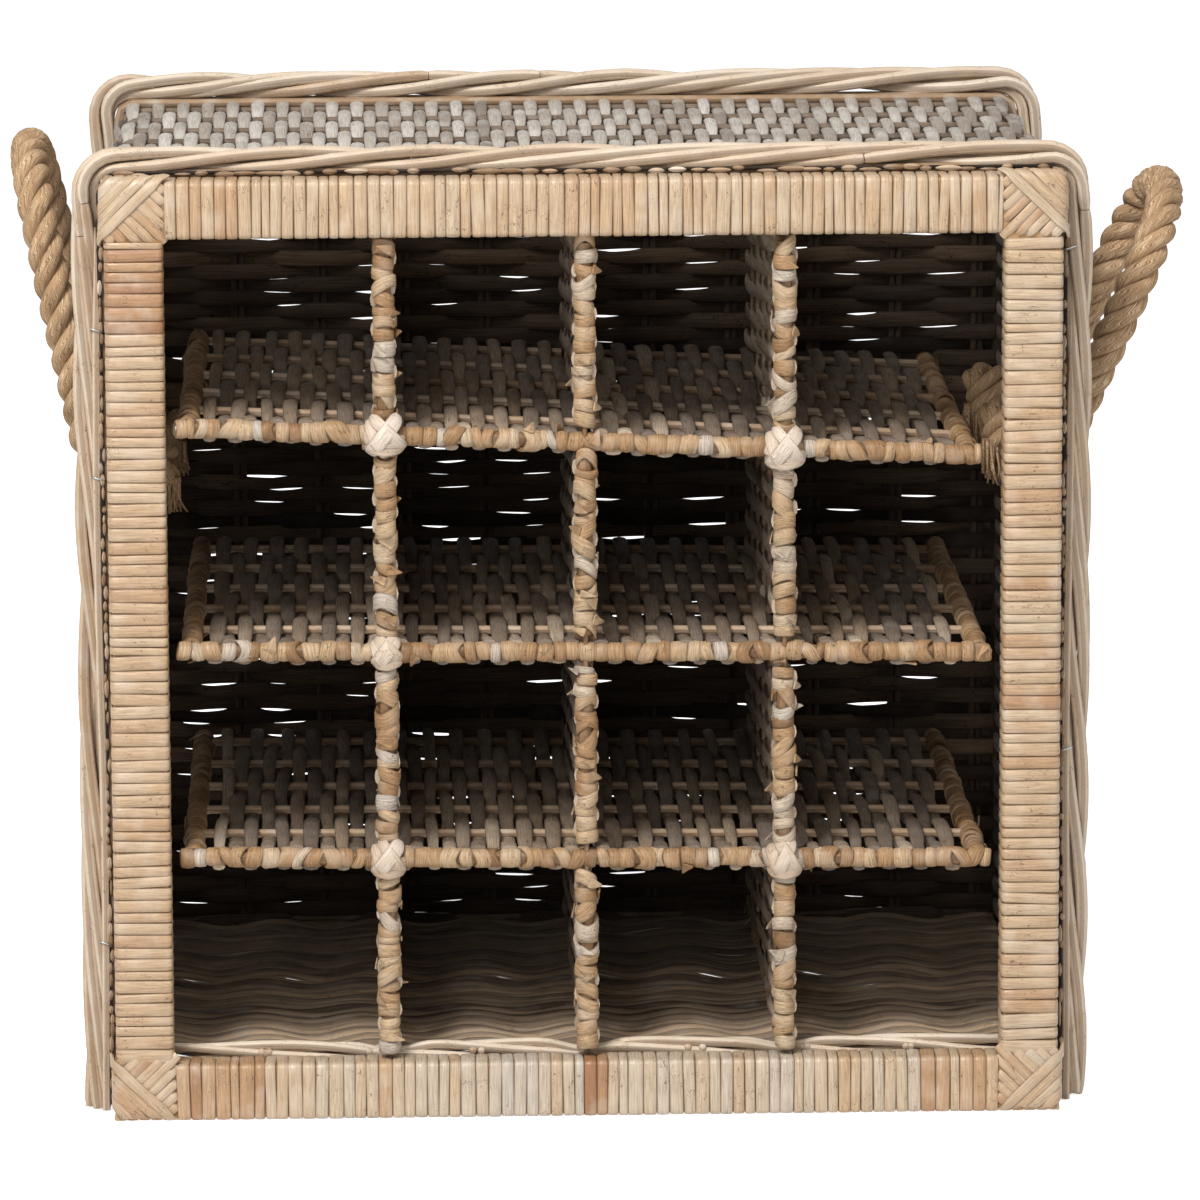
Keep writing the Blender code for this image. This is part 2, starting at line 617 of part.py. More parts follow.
def rope_handles():
    handle(-1, LEFT_LOOP_HEIGHT, LEFT_LEAN_DEGREES)
    handle(1, RIGHT_LOOP_HEIGHT, RIGHT_LEAN_DEGREES)
    for place in range(len(HOLE_Y)):
        knot(-1, place, LEFT_KNOT_REACH, LEFT_KNOT_HEIGHT, LEFT_KNOT_DROP)
        knot(1, place, RIGHT_KNOT_REACH, RIGHT_KNOT_HEIGHT, RIGHT_KNOT_DROP)


front_frame()
woven_box()
corner_poles()
braided_rims()
divider()
rope_handles()
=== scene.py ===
# %% [markdown]
# # A rattan bottle basket
#
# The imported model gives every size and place. This script dresses it: each strip, rod and rope strand
# of the real basket is laid as its own small mesh, in the order in which a basket maker works.
# Every piece rides on a body of the model, so that the divider can slide out and the handles can swing.

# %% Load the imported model
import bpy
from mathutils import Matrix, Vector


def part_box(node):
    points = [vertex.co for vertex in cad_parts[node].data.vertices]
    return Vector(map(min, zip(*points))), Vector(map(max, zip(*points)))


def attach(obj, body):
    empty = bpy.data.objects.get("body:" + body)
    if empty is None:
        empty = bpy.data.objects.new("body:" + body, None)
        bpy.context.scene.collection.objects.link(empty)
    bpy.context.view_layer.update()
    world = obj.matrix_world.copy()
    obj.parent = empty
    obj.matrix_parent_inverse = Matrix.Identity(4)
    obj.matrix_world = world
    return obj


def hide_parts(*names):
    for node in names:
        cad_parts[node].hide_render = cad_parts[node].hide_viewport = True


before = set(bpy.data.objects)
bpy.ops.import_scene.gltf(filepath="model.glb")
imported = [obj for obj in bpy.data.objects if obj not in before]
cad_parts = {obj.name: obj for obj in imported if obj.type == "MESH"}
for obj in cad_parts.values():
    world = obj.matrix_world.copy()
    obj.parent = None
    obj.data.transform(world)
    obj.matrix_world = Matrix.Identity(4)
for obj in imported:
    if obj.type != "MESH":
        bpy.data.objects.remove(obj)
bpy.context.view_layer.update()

# %% Tools used throughout
import math
import random

import bmesh
import bpy
import numpy as np
from mathutils import Matrix, Vector

MM = 0.001
random.seed(7)


def put(name, data):
    """Show a mesh, camera or lamp in the scene."""
    thing = bpy.data.objects.new(name, data)
    bpy.context.scene.collection.objects.link(thing)
    return thing

# %% [markdown]
# ## Camera
#
# The photograph was taken from almost 4 m away with a long lens, a little left of the middle and looking
# down by nearly 11 degrees. The place and angles were solved from fourteen points of the photograph,
# with the basket's depth already set. A camera looks along its own -Z, so the three columns of its
# matrix are right, up and backwards.

# %% Place the camera
CAMERA_PLACE = Vector((-0.1113, -3.7534, 0.9674))
YAW = math.radians(1.808)
PITCH = math.radians(10.658)
ROLL = math.radians(-0.222)
LENS = 231.92
SENSOR = 36

forward = Vector((math.sin(YAW) * math.cos(PITCH), math.cos(YAW) * math.cos(PITCH), -math.sin(PITCH)))
level_right = Vector((math.cos(YAW), -math.sin(YAW), 0))
level_up = level_right.cross(forward)
right = level_right * math.cos(ROLL) + level_up * math.sin(ROLL)
up = level_up * math.cos(ROLL) - level_right * math.sin(ROLL)
camera_data = bpy.data.cameras.new("camera")
camera_data.lens = LENS
camera_data.sensor_width = SENSOR
camera = put("camera", camera_data)
camera.matrix_world = Matrix.Translation(CAMERA_PLACE) @ Matrix((right, up, -forward)).transposed().to_4x4()
bpy.context.scene.camera = camera
bpy.context.scene.view_settings.view_transform = "Standard"
print("camera at", [round(value, 3) for value in CAMERA_PLACE])

# %% [markdown]
# ## Materials: the helpers
#
# Colours are chosen as the hex values that a paint program shows, and Blender works in linear light,
# so one function turns them round. Another adds a node, sets it up and wires its inputs, which keeps
# each material below readable as a recipe. Sizes in a recipe are those of the real marks, in metres.

# %% Colour and node helpers
def linear(hex_colour):
    """An sRGB hex colour as linear red, green, blue and alpha."""
    shares = [int(hex_colour[i:i + 2], 16) / 255 for i in (1, 3, 5)]
    return (*[s / 12.92 if s <= 0.04045 else ((s + 0.055) / 1.055) ** 2.4 for s in shares], 1.0)


def new_finish(name):
    """A new material, its node tree and its shader."""
    finish = bpy.data.materials.new(name)
    finish.use_nodes = True
    return finish, finish.node_tree, finish.node_tree.nodes["Principled BSDF"]


def set_inputs(node, inputs):
    """Set each named or numbered input of a node, or wire it to another node's output."""
    for key, value in inputs.items():
        if isinstance(value, bpy.types.NodeSocket):
            node.id_data.links.new(value, node.inputs[key])
        else:
            node.inputs[key].default_value = value


def add_node(tree, kind, inputs, output=0, stops=(), **settings):
    """Add a node with its settings, its inputs and the colours of a ramp, and hand on one output."""
    node = tree.nodes.new(kind)
    for name, value in settings.items():
        setattr(node, name, value)
    set_inputs(node, inputs)
    for place, colour in stops[2:]:
        node.color_ramp.elements.new(place)
    if stops:
        for element, (place, colour) in zip(node.color_ramp.elements, sorted(stops)):
            element.position = place
            element.color = linear(colour)
    return node.outputs[output]


# %% [markdown]
# ## Rattan and cane
#
# Rattan is a climbing palm. Its outer peel is split into flat shiny strips, the binding cane, and its
# core is drawn into round matt rods. Both show long fibres, small dark flecks and worn pale patches.
# All the rattan finishes share one recipe: a colour for each strip from its "tone", fibres stretched
# along the strip, grey weathering, flecks, hairline cracks, and painted shade in the creases at a strip's edges.

# %% The shared rattan recipe
PATCH_SIZE = 14 * MM
FLECK_SIZE = 1.1 * MM
CRACK_SIZE = (2.4 * MM, 9 * MM)


def rattan(name, tones, grime_and_crease_shade, weathered, fibre_width, fibre_length, contrast, gloss, dull, weathering=0.35,
           shine=0.25):
    """A rattan finish. tones are colour stops read by each strip's tone, fibre sizes are in metres."""
    finish, tree, shader = new_finish(name)
    tone, edge = (add_node(tree, "ShaderNodeAttribute", {}, "Fac", attribute_name=layer) for layer in ("tone", "edge"))
    strip = add_node(tree, "ShaderNodeUVMap", {}, "UV", uv_map="StripUV")
    place = add_node(tree, "ShaderNodeTexCoord", {}, "Object")
    stretched, drawn_out = (add_node(tree, "ShaderNodeMapping", {"Vector": strip, "Scale": (1 / wide, 1 / long, 1)})
                            for wide, long in ((fibre_width, fibre_length), CRACK_SIZE))
    fibres, patches, flecks, wander = (
        add_node(tree, "ShaderNodeTexNoise", {"Vector": at, "Scale": scale, "Detail": detail, "Roughness": rough},
                 "Fac")
        for at, scale, detail, rough in ((stretched, 1, 4, 0.62), (place, 1 / PATCH_SIZE, 3, 0.5),
                                         (place, 1 / FLECK_SIZE, 1, 0.5), (drawn_out, 1, 2, 0.5)))
    hairline = add_node(tree, "ShaderNodeMath", {0: wander, 1: 0.5, 2: 0.007}, operation="COMPARE")
    rare = add_node(tree, "ShaderNodeMapRange", {0: patches, 1: 0.45, 2: 0.42, 3: 0.0, 4: 0.85})
    crack = add_node(tree, "ShaderNodeMath", {0: hairline, 1: rare}, operation="MULTIPLY")
    colour = add_node(tree, "ShaderNodeValToRGB", {"Fac": tone}, "Color", tones)
    # Each layer: what it follows, from where to where, its strength at these two, and its colour.
    # The edge layer is painted shade: it darkens each strip towards its edges, in the creases between strips.
    for value, low, high, at_low, at_high, layer in (
            (fibres, 0.36, 0.64, contrast, 0.0, grime_and_crease_shade), (patches, 0.5, 0.72, 0.0, weathering, weathered),
            (flecks, 0.69, 0.76, 0.0, 0.55, grime_and_crease_shade), (crack, 0.0, 1.0, 0.0, 1.0, grime_and_crease_shade),
            (edge, 0.84, 1.0, 0.0, 0.72, grime_and_crease_shade)):
        share = add_node(tree, "ShaderNodeMapRange", {0: value, 1: low, 2: high, 3: at_low, 4: at_high})
        colour = add_node(tree, "ShaderNodeMix", {0: share, 6: colour, 7: linear(layer)}, 2, data_type="RGBA")
    rough = add_node(tree, "ShaderNodeMapRange", {0: fibres, 1: 0.3, 2: 0.7, 3: dull, 4: gloss})
    relief = add_node(tree, "ShaderNodeBump", {"Height": fibres, "Strength": 0.45, "Distance": 0.35 * MM})
    set_inputs(shader, {"Base Color": colour, "Roughness": rough, "Normal": relief, "Specular IOR Level": shine})
    print(name)
    return finish


# %% [markdown]
# Each finish below is a handful of colours, from one end of the tone scale to the other, with the colours
# of its dirt and painted crease shade and of its worn patches, and the width and length of its fibres.

# %% The rattan finishes
# Split binding cane keeps its glassy skin: beige straw with orange strips and a satin highlight.
BINDING_CANE = rattan("binding_cane_split_peel",
                      [(0.0, "#C4B8A9"), (1.0, "#9A6D49"), (0.25, "#C5B298"), (0.5, "#C1A482"), (0.75, "#B28C67")],
                      "#62462F", "#CBBBA8", 0.55 * MM, 16 * MM, 0.44, 0.26, 0.55, 0.4, 0.5)
# Sun-bleached peel on the outside of the box: pale grey with a dusty, matt face.
BLEACHED_PEEL = rattan("bleached_rattan_peel",
                       [(0.0, "#8B8075"), (1.0, "#CFC7BE"), (0.35, "#A69B8F"), (0.7, "#BCB3A8")],
                       "#5A4E43", "#CFC9C1", 0.6 * MM, 9 * MM, 0.45, 0.42, 0.74, 0.5)
# Weathered peel on the divider: grey-brown strips that still show their long fibres.
WEATHERED_PEEL = rattan("weathered_rattan_peel",
                        [(0.0, "#685B4F"), (1.0, "#CDBAA3"), (0.4, "#807163"), (0.7, "#97836D")],
                        "#3C3129", "#9A8E83", 0.55 * MM, 14 * MM, 0.5, 0.42, 0.72, 0.35)
# Round peeled core: whole rods, matt, grey-tan on the front and browner behind.
ROUND_CORE = rattan("round_rattan_core",
                    [(0.0, "#8A6E52"), (1.0, "#EBE2D4"), (0.35, "#C2A688"), (0.7, "#E2D2BD")],
                    "#6A523C", "#D8CEC2", 0.5 * MM, 40 * MM, 0.34, 0.42, 0.70, 0.35)
# Peel that binds the divider's edges: handled daily, so browner and dirtier than the frame.
BOUND_PEEL = rattan("bound_edge_peel",
                    [(0.0, "#C6B9AA"), (1.0, "#8C6A49"), (0.3, "#C9AD8A"), (0.65, "#B08B64")],
                    "#46331F", "#C2B3A1", 0.5 * MM, 8 * MM, 0.6, 0.30, 0.62, 0.35)
# New pale peel of the lashings.
LASHING_PEEL = rattan("new_lashing_peel",
                      [(0.0, "#E0D1C1"), (1.0, "#B4977A"), (0.5, "#CDB9A3")],
                      "#6E5844", "#D8CBBD", 0.5 * MM, 9 * MM, 0.4, 0.35, 0.6, 0.3)
# Core rods left to grey on the floor, brownish where feet and bottles rub them.
FLOOR_CORE = rattan("greyed_floor_core",
                    [(0.0, "#5E4E40"), (1.0, "#BBA184"), (0.4, "#8B7865"), (0.7, "#A58F77")],
                    "#352B23", "#9B9187", 0.6 * MM, 35 * MM, 0.5, 0.45, 0.78, 0.4)
# Core rods darkened as painted shade: the dark back wall inside the box, the ground seen between corner strips, and
# the ribbon in the gap beside the frame.
DARK_CORE_PAINTED_SHADE = rattan("rattan_core_painted_shade",
                      [(0.0, "#332B25"), (1.0, "#86705B"), (0.5, "#5E4F43")],
                      "#1D1713", "#5C5148", 0.6 * MM, 30 * MM, 0.5, 0.5, 0.8, 0.3, 0.1)

# %% [markdown]
# ## Laying a strip
#
# A basket is thousands of strips that follow other strips. Blender draws one straight strip for each
# number of sides and rings, by cutting a cylinder across with subdivide_edges, or by spinning a circle
# into a closed ring. Laying it means moving each of its rings to a point of a path, turned so that the
# strip's face looks out along "ups". Each strip carries its tone, its edge value and a UV map in metres.

# %% One straight strip, drawn once
patterns = {}


def strip_pattern(sides, rings, closed, boxy):
    """The mesh of a straight strip or a closed ring, and where each corner lies on it."""
    key = (sides, rings, closed, boxy)
    if key in patterns:
        return patterns[key]
    shape = bmesh.new()
    if closed:
        bmesh.ops.create_circle(shape, segments=sides, radius=1)
        bmesh.ops.translate(shape, vec=(3, 0, 0), verts=shape.verts)
        bmesh.ops.rotate(shape, matrix=Matrix.Rotation(math.pi / 2, 3, "X"), verts=shape.verts)
        bmesh.ops.spin(shape, geom=shape.verts[:] + shape.edges[:], axis=(0, 0, 1), angle=2 * math.pi, steps=rings,
                       use_merge=True)
        bmesh.ops.recalc_face_normals(shape, faces=shape.faces)
    else:
        bmesh.ops.create_cone(shape, cap_ends=True, segments=sides, radius1=1, radius2=1, depth=2)
        long_edges = [edge for edge in shape.edges if abs(edge.verts[0].co.z - edge.verts[1].co.z) > 1]
        bmesh.ops.subdivide_edges(shape, edges=long_edges, cuts=rings - 2, use_grid_fill=True)
    shape.loops.layers.uv.new("StripUV")
    shape.verts.layers.float.new("tone")
    shape.verts.layers.float.new("edge")
    mesh = bpy.data.meshes.new("strip")
    shape.to_mesh(mesh)
    shape.free()
    corners = np.array([vertex.co for vertex in mesh.vertices])
    if closed:
        turn = np.arctan2(corners[:, 1], corners[:, 0])
        ring = np.rint(turn / (2 * math.pi) * rings).astype(int) % rings
        across, out = np.hypot(corners[:, 0], corners[:, 1]) - 3, corners[:, 2]
    else:
        ring = np.rint((corners[:, 2] + 1) / 2 * (rings - 1)).astype(int)
        across, out = corners[:, 0], corners[:, 1]
    angle = np.arctan2(out, across)
    side = np.rint(angle / (2 * math.pi) * sides).astype(int) % sides
    owner = np.zeros(len(mesh.loops), int)
    mesh.loops.foreach_get("vertex_index", owner)
    loop_ring, loop_side = ring[owner].astype(float), side[owner].astype(float)
    for face in mesh.polygons:
        span = slice(face.loop_start, face.loop_start + face.loop_total)
        for values, count in ((loop_ring, rings), (loop_side, sides)):
            if values[span].max() - values[span].min() > count / 2 and face.loop_total == 4:
                values[span] += np.where(values[span] < count / 2, count, 0)
    patterns[key] = {"mesh": mesh, "ring": ring, "angle": angle, "loop_ring": loop_ring.astype(int),
                     "loop_side": loop_side / sides, "across": np.sign(across) * np.abs(across) ** boxy,
                     "out": np.sign(out) * np.abs(out) ** boxy}
    mesh.attributes["edge"].data.foreach_set("value", np.abs(patterns[key]["across"]).astype(np.float32))
    return patterns[key]


# %% [markdown]
# Each laid strip is a copy of such a pattern, with all its corners moved at once. A finished piece is one
# mesh of many strips. It's named, given its finish, and tied to a body of the model.

# %% Bend a copy of it along a path
def unit(vectors):
    return vectors / np.maximum(np.linalg.norm(vectors, axis=-1, keepdims=True), 1e-12)


def lay_strip(shape, points, ups, width, thickness, tone, closed=False, sides=8, boxy=0.65, lobes=0, lobe_turn=0):
    """Lay a strip of that width and thickness on a path. lobes are yarns that wind round it, as on a strand."""
    points = np.asarray(points, float)
    pattern = strip_pattern(sides, len(points), closed, boxy)
    if closed:
        along = unit(np.roll(points, -1, 0) - np.roll(points, 1, 0))
        gaps = np.linalg.norm(np.roll(points, -1, 0) - points, axis=1)
    else:
        along = unit(np.gradient(points, axis=0))
        gaps = np.linalg.norm(points[1:] - points[:-1], axis=1)
    across = unit(np.cross(np.broadcast_to(ups, points.shape), along))
    out = np.cross(along, across)
    measure = np.concatenate(([0], np.cumsum(gaps)))
    ring = pattern["ring"]
    half_width = np.broadcast_to(np.asarray(width, float) / 2, len(points))[ring]
    half_thickness = np.broadcast_to(np.asarray(thickness, float) / 2, len(points))[ring]
    if lobes:
        swell = 1 - 0.09 * (1 - np.abs(np.sin(lobes / 2 * (pattern["angle"] + lobe_turn * measure[ring]))))
        half_width, half_thickness = half_width * swell, half_thickness * swell
    places = (points[ring] + across[ring] * (pattern["across"] * half_width)[:, None]
              + out[ring] * (pattern["out"] * half_thickness)[:, None])
    mesh = pattern["mesh"]
    mesh.vertices.foreach_set("co", places.astype(np.float32).ravel())
    mesh.attributes["tone"].data.foreach_set("value", np.full(len(ring), tone, np.float32))
    girth = 2 * (np.mean(width) + np.mean(thickness))
    uv = np.stack((pattern["loop_side"] * girth + 3.7 * tone, measure[pattern["loop_ring"]] + 11.3 * tone), 1)
    mesh.uv_layers["StripUV"].uv.foreach_set("vector", uv.astype(np.float32).ravel())
    shape.from_mesh(mesh, face_normals=False, vertex_normals=False)


def lay_rod(shape, points, ups, widths, tone, sides=8):
    """Lay a round rod on a path."""
    lay_strip(shape, points, ups, widths, widths, tone, sides=sides, boxy=1.0)


def settle(name, shape, finish, body, slot, *stands_for):
    """Turn a finished bmesh into a piece that rides on a body and stands for the CAD nodes it dresses."""
    mesh = bpy.data.meshes.new(name)
    shape.to_mesh(mesh)
    shape.free()
    mesh.materials.append(finish)
    mesh.shade_smooth()
    mesh.set_sharp_from_angle(angle=math.radians(70))
    piece = put(name, mesh)
    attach(piece, body)
    if stands_for:
        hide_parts(*stands_for)
    print(name, len(mesh.polygons), "faces")
    return piece


def vary(middle, spread, low=0.0, high=1.0):
    """A random value near the middle, kept between two limits."""
    return min(max(random.gauss(middle, spread), low), high)


# %% [markdown]
# ## Wrapped front frame
#
# Each of the frame's four flat slats is bound with cane about 6 mm wide, one turn touching the next.
# Each turn is laid as its own closed ring round the slat: a helix would look the same but for a slope,
# so every ring leans a little instead. Width, lean and tone change from turn to turn, as by hand.

# %% Wrap the four bars
TURN_WIDTH = 5.9 * MM
TURN_THICKNESS = 1.7 * MM
BAR_ROUNDING = 2.0 * MM


def rounded_section(half_a, half_b, radius, mids):
    """Points and outward directions round a rectangle with round corners, each long side with mids between."""
    places, outs = [], []
    for quarter, (a, b) in enumerate(((1, 1), (-1, 1), (-1, -1), (1, -1))):
        for step in range(3):
            turn = math.pi / 2 * (quarter + step / 2)
            outs.append((math.cos(turn), math.sin(turn)))
            places.append((a * (half_a - radius) + radius * outs[-1][0], b * (half_b - radius) + radius * outs[-1][1]))
        if quarter % 2 == 0:
            for step in range(1, mids + 1):
                share = 1 - 2 * step / (mids + 1)
                places.append((a * share * (half_a - radius), b * half_b))
                outs.append((0, b))
    return places, outs


def wrap_bar(node, along, tone_at):
    """Bind one bar of the frame. along is 0 for a level bar and 2 for an upright one."""
    low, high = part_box(node)
    wide = 2 - along
    middle = (low + high) / 2
    half_a = (high[wide] - low[wide]) / 2 - TURN_THICKNESS / 2
    half_b = (high.y - low.y) / 2 - TURN_THICKNESS / 2
    section, outs = rounded_section(half_a, half_b, BAR_ROUNDING, 3)
    shape = bmesh.new()
    place = low[along]
    while place < high[along] - TURN_WIDTH / 3:
        turn_width = TURN_WIDTH * vary(1, 0.14, 0.7, 1.3)
        turn_width = min(turn_width, high[along] - place)
        lean = random.gauss(0, 0.22) * MM
        bulge = random.gauss(0, 0.07) * MM
        points, ups = [], []
        for (a, b), (out_a, out_b) in zip(section, outs):
            point, out = Vector((0, 0, 0)), Vector((0, 0, 0))
            point[wide], point.y = middle[wide] + a + bulge * out_a, middle.y + b + bulge * out_b
            point[along] = place + turn_width / 2 + lean * (a / half_a) * (-1 if b < 0 else 1)
            out[wide], out.y = out_a, out_b
            points.append(point)
            ups.append(out)
        seam = random.choice((0.95, 0.98, 0.99, 1.0, 1.0))
        lay_strip(shape, points, ups, turn_width * seam, TURN_THICKNESS, tone_at(place), closed=True, boxy=0.6)
        place += turn_width
    return shape


# The tone of a turn at a place along its bar, in metres: the darker turns stand where the photograph has them.
def tone_top(x):
    return vary(0.58 if -0.205 < x < -0.175 or 0.0 < x < 0.02 else 0.42, 0.08)


def tone_bottom(x):
    pale = 0.30 - 0.12 * math.exp(-(x / 0.09) ** 2)
    return vary(0.86 if -0.006 < x < 0.006 else pale if abs(x) < 0.165 else 0.66, 0.12)


def tone_left(z):
    return vary(0.84 if 0.392 < z < 0.436 else 0.52, 0.08)


def tone_right(z):
    return vary(0.52 if z < 0.36 else 0.44, 0.09)


for label, along, tone_at in (("top", 0, tone_top), ("bottom", 0, tone_bottom), ("left", 2, tone_left),
                              ("right", 2, tone_right)):
    node = "front_frame_wrap_" + label
    settle("wrapping_" + label, wrap_bar(node, along, tone_at), BINDING_CANE, "basket", "binding_cane", node)

# %% [markdown]
# ## Crossed strips on the corners
#
# At each corner of the frame the turns can't go round two bars at once, so the maker lays a fan of
# strips from the opening's corner and locks it with strips across it. They fold over the outer edges.
# A fold is drawn with one formula: the distance inward and the depth are the two halves of a hyperbola.

# %% One strip over a corner
STRIP_WIDTH = 5.5 * MM
FOLD = 2.0 * MM


def folded(distance):
    """How far inward on the front face and how deep round the edge a strip lies."""
    slant = math.hypot(distance, FOLD)
    return (distance + slant) / 2, (slant - distance) / 2, (1 + distance / slant) / 2


def corner_strip(shape, corner, start, end, widths, lift, tone, dive=0.0):
    """A strip over one corner. start and end are distances from the outer side and end; dive sinks the start."""
    outer, inward, front = corner
    points, ups = [], []
    for share in np.linspace(0, 1, 11):
        a, b = (start[i] + (end[i] - start[i]) * share for i in range(2))
        (in_a, deep_a, face_a), (in_b, deep_b, face_b) = folded(a), folded(b)
        out = Vector((-inward[0] * (1 - face_a), -face_a * face_b, -inward[1] * (1 - face_b))).normalized()
        point = Vector((outer[0] + inward[0] * in_a, front + deep_a + deep_b, outer[1] + inward[1] * in_b))
        points.append(point + out * (lift - dive * max(0.0, 1 - share / 0.2)))
        ups.append(out)
    lay_strip(shape, points, ups, np.interp(np.linspace(0, 1, 11), (0, 0.3, 1), widths), 1.5 * MM, tone, boxy=0.7)


# %% [markdown]
# Short strips laid side by side cover the two outer faces of each corner, where the crossed strips end.
# Under them all lies a plain dark block, a little smaller, so that no gap between strips shows daylight. Its dark
# finish is painted shade in those gaps.

# %% Bind the four corners
INNER_OFFSETS = [6.3 * MM * number for number in range(-4, 5)]
INNER_SUM = 23 * MM
CROSS_SUMS = (27.6 * MM, 20.2 * MM, 13.2 * MM, 6.6 * MM)
CROSS_PAST = 4.0 * MM
COVER_STRIPS = 5
GROUND_INSET = 2.2 * MM
GROUND_CLEAR = 2.0 * MM


def cross_corner(shape, corner, edge):
    """The fan of strips from the opening's corner, and the strips that lock it."""
    for offset in INNER_OFFSETS:
        near = offset + random.gauss(0, 0.5) * MM
        start = (edge - max(0, -near), edge - max(0, near))
        end = ((INNER_SUM + offset) / 2, (INNER_SUM - offset) / 2)
        corner_strip(shape, corner, start, end, (4.6 * MM, 4.8 * MM, 4.8 * MM), random.random() * 0.4 * MM,
                     vary(0.48, 0.1), dive=2.2 * MM)
    for number, total in enumerate(CROSS_SUMS):
        lean = random.gauss(0, 0.5) * MM
        start, end = (-CROSS_PAST, total + CROSS_PAST + lean), (total + CROSS_PAST - lean, -CROSS_PAST)
        widths = (STRIP_WIDTH, STRIP_WIDTH * vary(1, 0.05, 0.9, 1.1), STRIP_WIDTH)
        lift = 1.5 * MM if number == 0 else random.uniform(0.5, 0.9) * MM
        corner_strip(shape, corner, start, end, widths, lift, vary(0.48, 0.08))


def cover_corner(shape, low, high, inward):
    """The short strips over the two outer faces."""
    size = high.x - low.x
    for axis in (0, 2):
        other, out = 2 - axis, Vector((0, 0, 0))
        out[axis] = -inward[axis // 2]
        face = (low if out[axis] < 0 else high)[axis]
        for number in range(COVER_STRIPS):
            points = []
            for y in np.linspace(low.y + 2.5 * MM, high.y - 0.4 * MM, 5):
                point = Vector((0, y, 0))
                point[axis] = face - out[axis] * (0.9 + 0.3 * random.random()) * MM
                point[other] = low[other] + size * (number + 0.5) / COVER_STRIPS
                points.append(point)
            lay_strip(shape, points, out, size / COVER_STRIPS, 1.4 * MM, vary(0.5, 0.1), boxy=0.7)


def corner_ground(low, high):
    """The block under the strips, with its edges rounded."""
    pad = bmesh.new()
    bmesh.ops.create_cube(pad, size=1)
    bmesh.ops.scale(pad, vec=(high - low) - Vector((1, 1, 1)) * 2 * GROUND_INSET, verts=pad.verts)
    bmesh.ops.translate(pad, vec=(low + high) / 2 + Vector((0, 0.6 * MM, 0)), verts=pad.verts)
    bmesh.ops.bevel(pad, geom=pad.edges, offset=1.5 * MM, affect="EDGES", segments=2, profile=0.5, material=-1)
    return pad


for row in ("bottom", "top"):
    for side in ("left", "right"):
        node = "front_frame_corner_%s_%s" % (row, side)
        low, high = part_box(node)
        inward = (1 if side == "left" else -1, 1 if row == "bottom" else -1)
        outer = (low.x if inward[0] > 0 else high.x, low.z + GROUND_CLEAR if inward[1] > 0 else high.z)
        shape = bmesh.new()
        cross_corner(shape, (outer, inward, low.y + 1.2 * MM), high.x - low.x + 1.6 * MM)
        cover_corner(shape, low, high, inward)
        settle("corner_binding_%s_%s" % (row, side), shape, BINDING_CANE, "basket", "binding_cane", node)
        # The dark block is painted shade for the gaps between the corner strips.
        settle("corner_ground_%s_%s" % (row, side), corner_ground(low, high), DARK_CORE_PAINTED_SHADE, "basket", "slat_wood")

# %% [markdown]
# ## Braided rims
#
# Each rim is a bundle of four whole rods, twisted slowly round each other on its way up one side, over
# the top and down the other. A rod is seldom long enough, so the maker butts a new one against its end:
# those joints are left as dark hairlines. Swellings every 20 cm or so are the cane's growth nodes.

# %% A path up one side, over the top and down the other
def hoop_length(half_width, bottom, top, radius):
    return 2 * (top - radius - bottom) + radius * math.pi + 2 * (half_width - radius)


def hoop_place(s, half_width, bottom, top, radius):
    """The place and outward direction at length s of a hoop with round upper corners."""
    middle = hoop_length(half_width, bottom, top, radius) / 2
    if s > middle:
        (x, z), (out_x, out_z) = hoop_place(2 * middle - s, half_width, bottom, top, radius)
        return (-x, z), (-out_x, out_z)
    straight, bend = top - radius - bottom, radius * math.pi / 2
    if s < straight:
        return (-half_width, bottom + s), (-1.0, 0.0)
    if s < straight + bend:
        turn = math.pi - (s - straight) / radius
        return ((radius - half_width + radius * math.cos(turn), top - radius + radius * math.sin(turn)),
                (math.cos(turn), math.sin(turn)))
    return (radius - half_width + s - straight - bend, top), (0.0, 1.0)


def hoop_path(outline, lengths, depths, lifts=0.0):
    """Points at these lengths of a hoop and their outward directions. depths and lifts are one or many."""
    found = np.array([hoop_place(s, *outline) for s in lengths])
    places = found[:, 0] + found[:, 1] * np.broadcast_to(lifts, len(found))[:, None]
    points = np.stack((places[:, 0], np.broadcast_to(depths, len(found)), places[:, 1]), 1)
    return points, np.insert(found[:, 1], 1, 0, axis=1)


# %% A natural rod
NODE_LENGTH = 2.2 * MM


def rod_widths(count, width, spacing):
    """The width at each ring of a natural rod: slightly uneven, with a swelling at each growth node."""
    at = np.arange(count) * spacing
    widths = width * (1 + 0.025 * np.sin(at / 0.023 + random.random() * 6))
    for node_at in np.arange(random.random() * 0.16, at[-1] + 0.1, 0.19 + random.random() * 0.05):
        widths = widths + width * 0.09 * np.exp(-((at - node_at) / NODE_LENGTH) ** 2)
    return widths


def lay_cane(shape, points, ups, width, spacing, tone, sides=8, taper=1.0):
    """Lay a natural rod. tone is the middle and the spread that its tone is drawn from."""
    widths = rod_widths(len(points), width, spacing) * taper
    lay_rod(shape, points, ups, widths, vary(*tone), sides)


# %% Twist the rods of both rims
RIM_RODS = 4
RIM_CORNER = 15.55 * MM
TWIST_PITCH = 0.235
ROD_STEP = 4 * MM
ROD_LENGTHS = (0.32, 0.75)
SHORTEST_ROD = 0.12
BUTT_GAP = 0.4 * MM


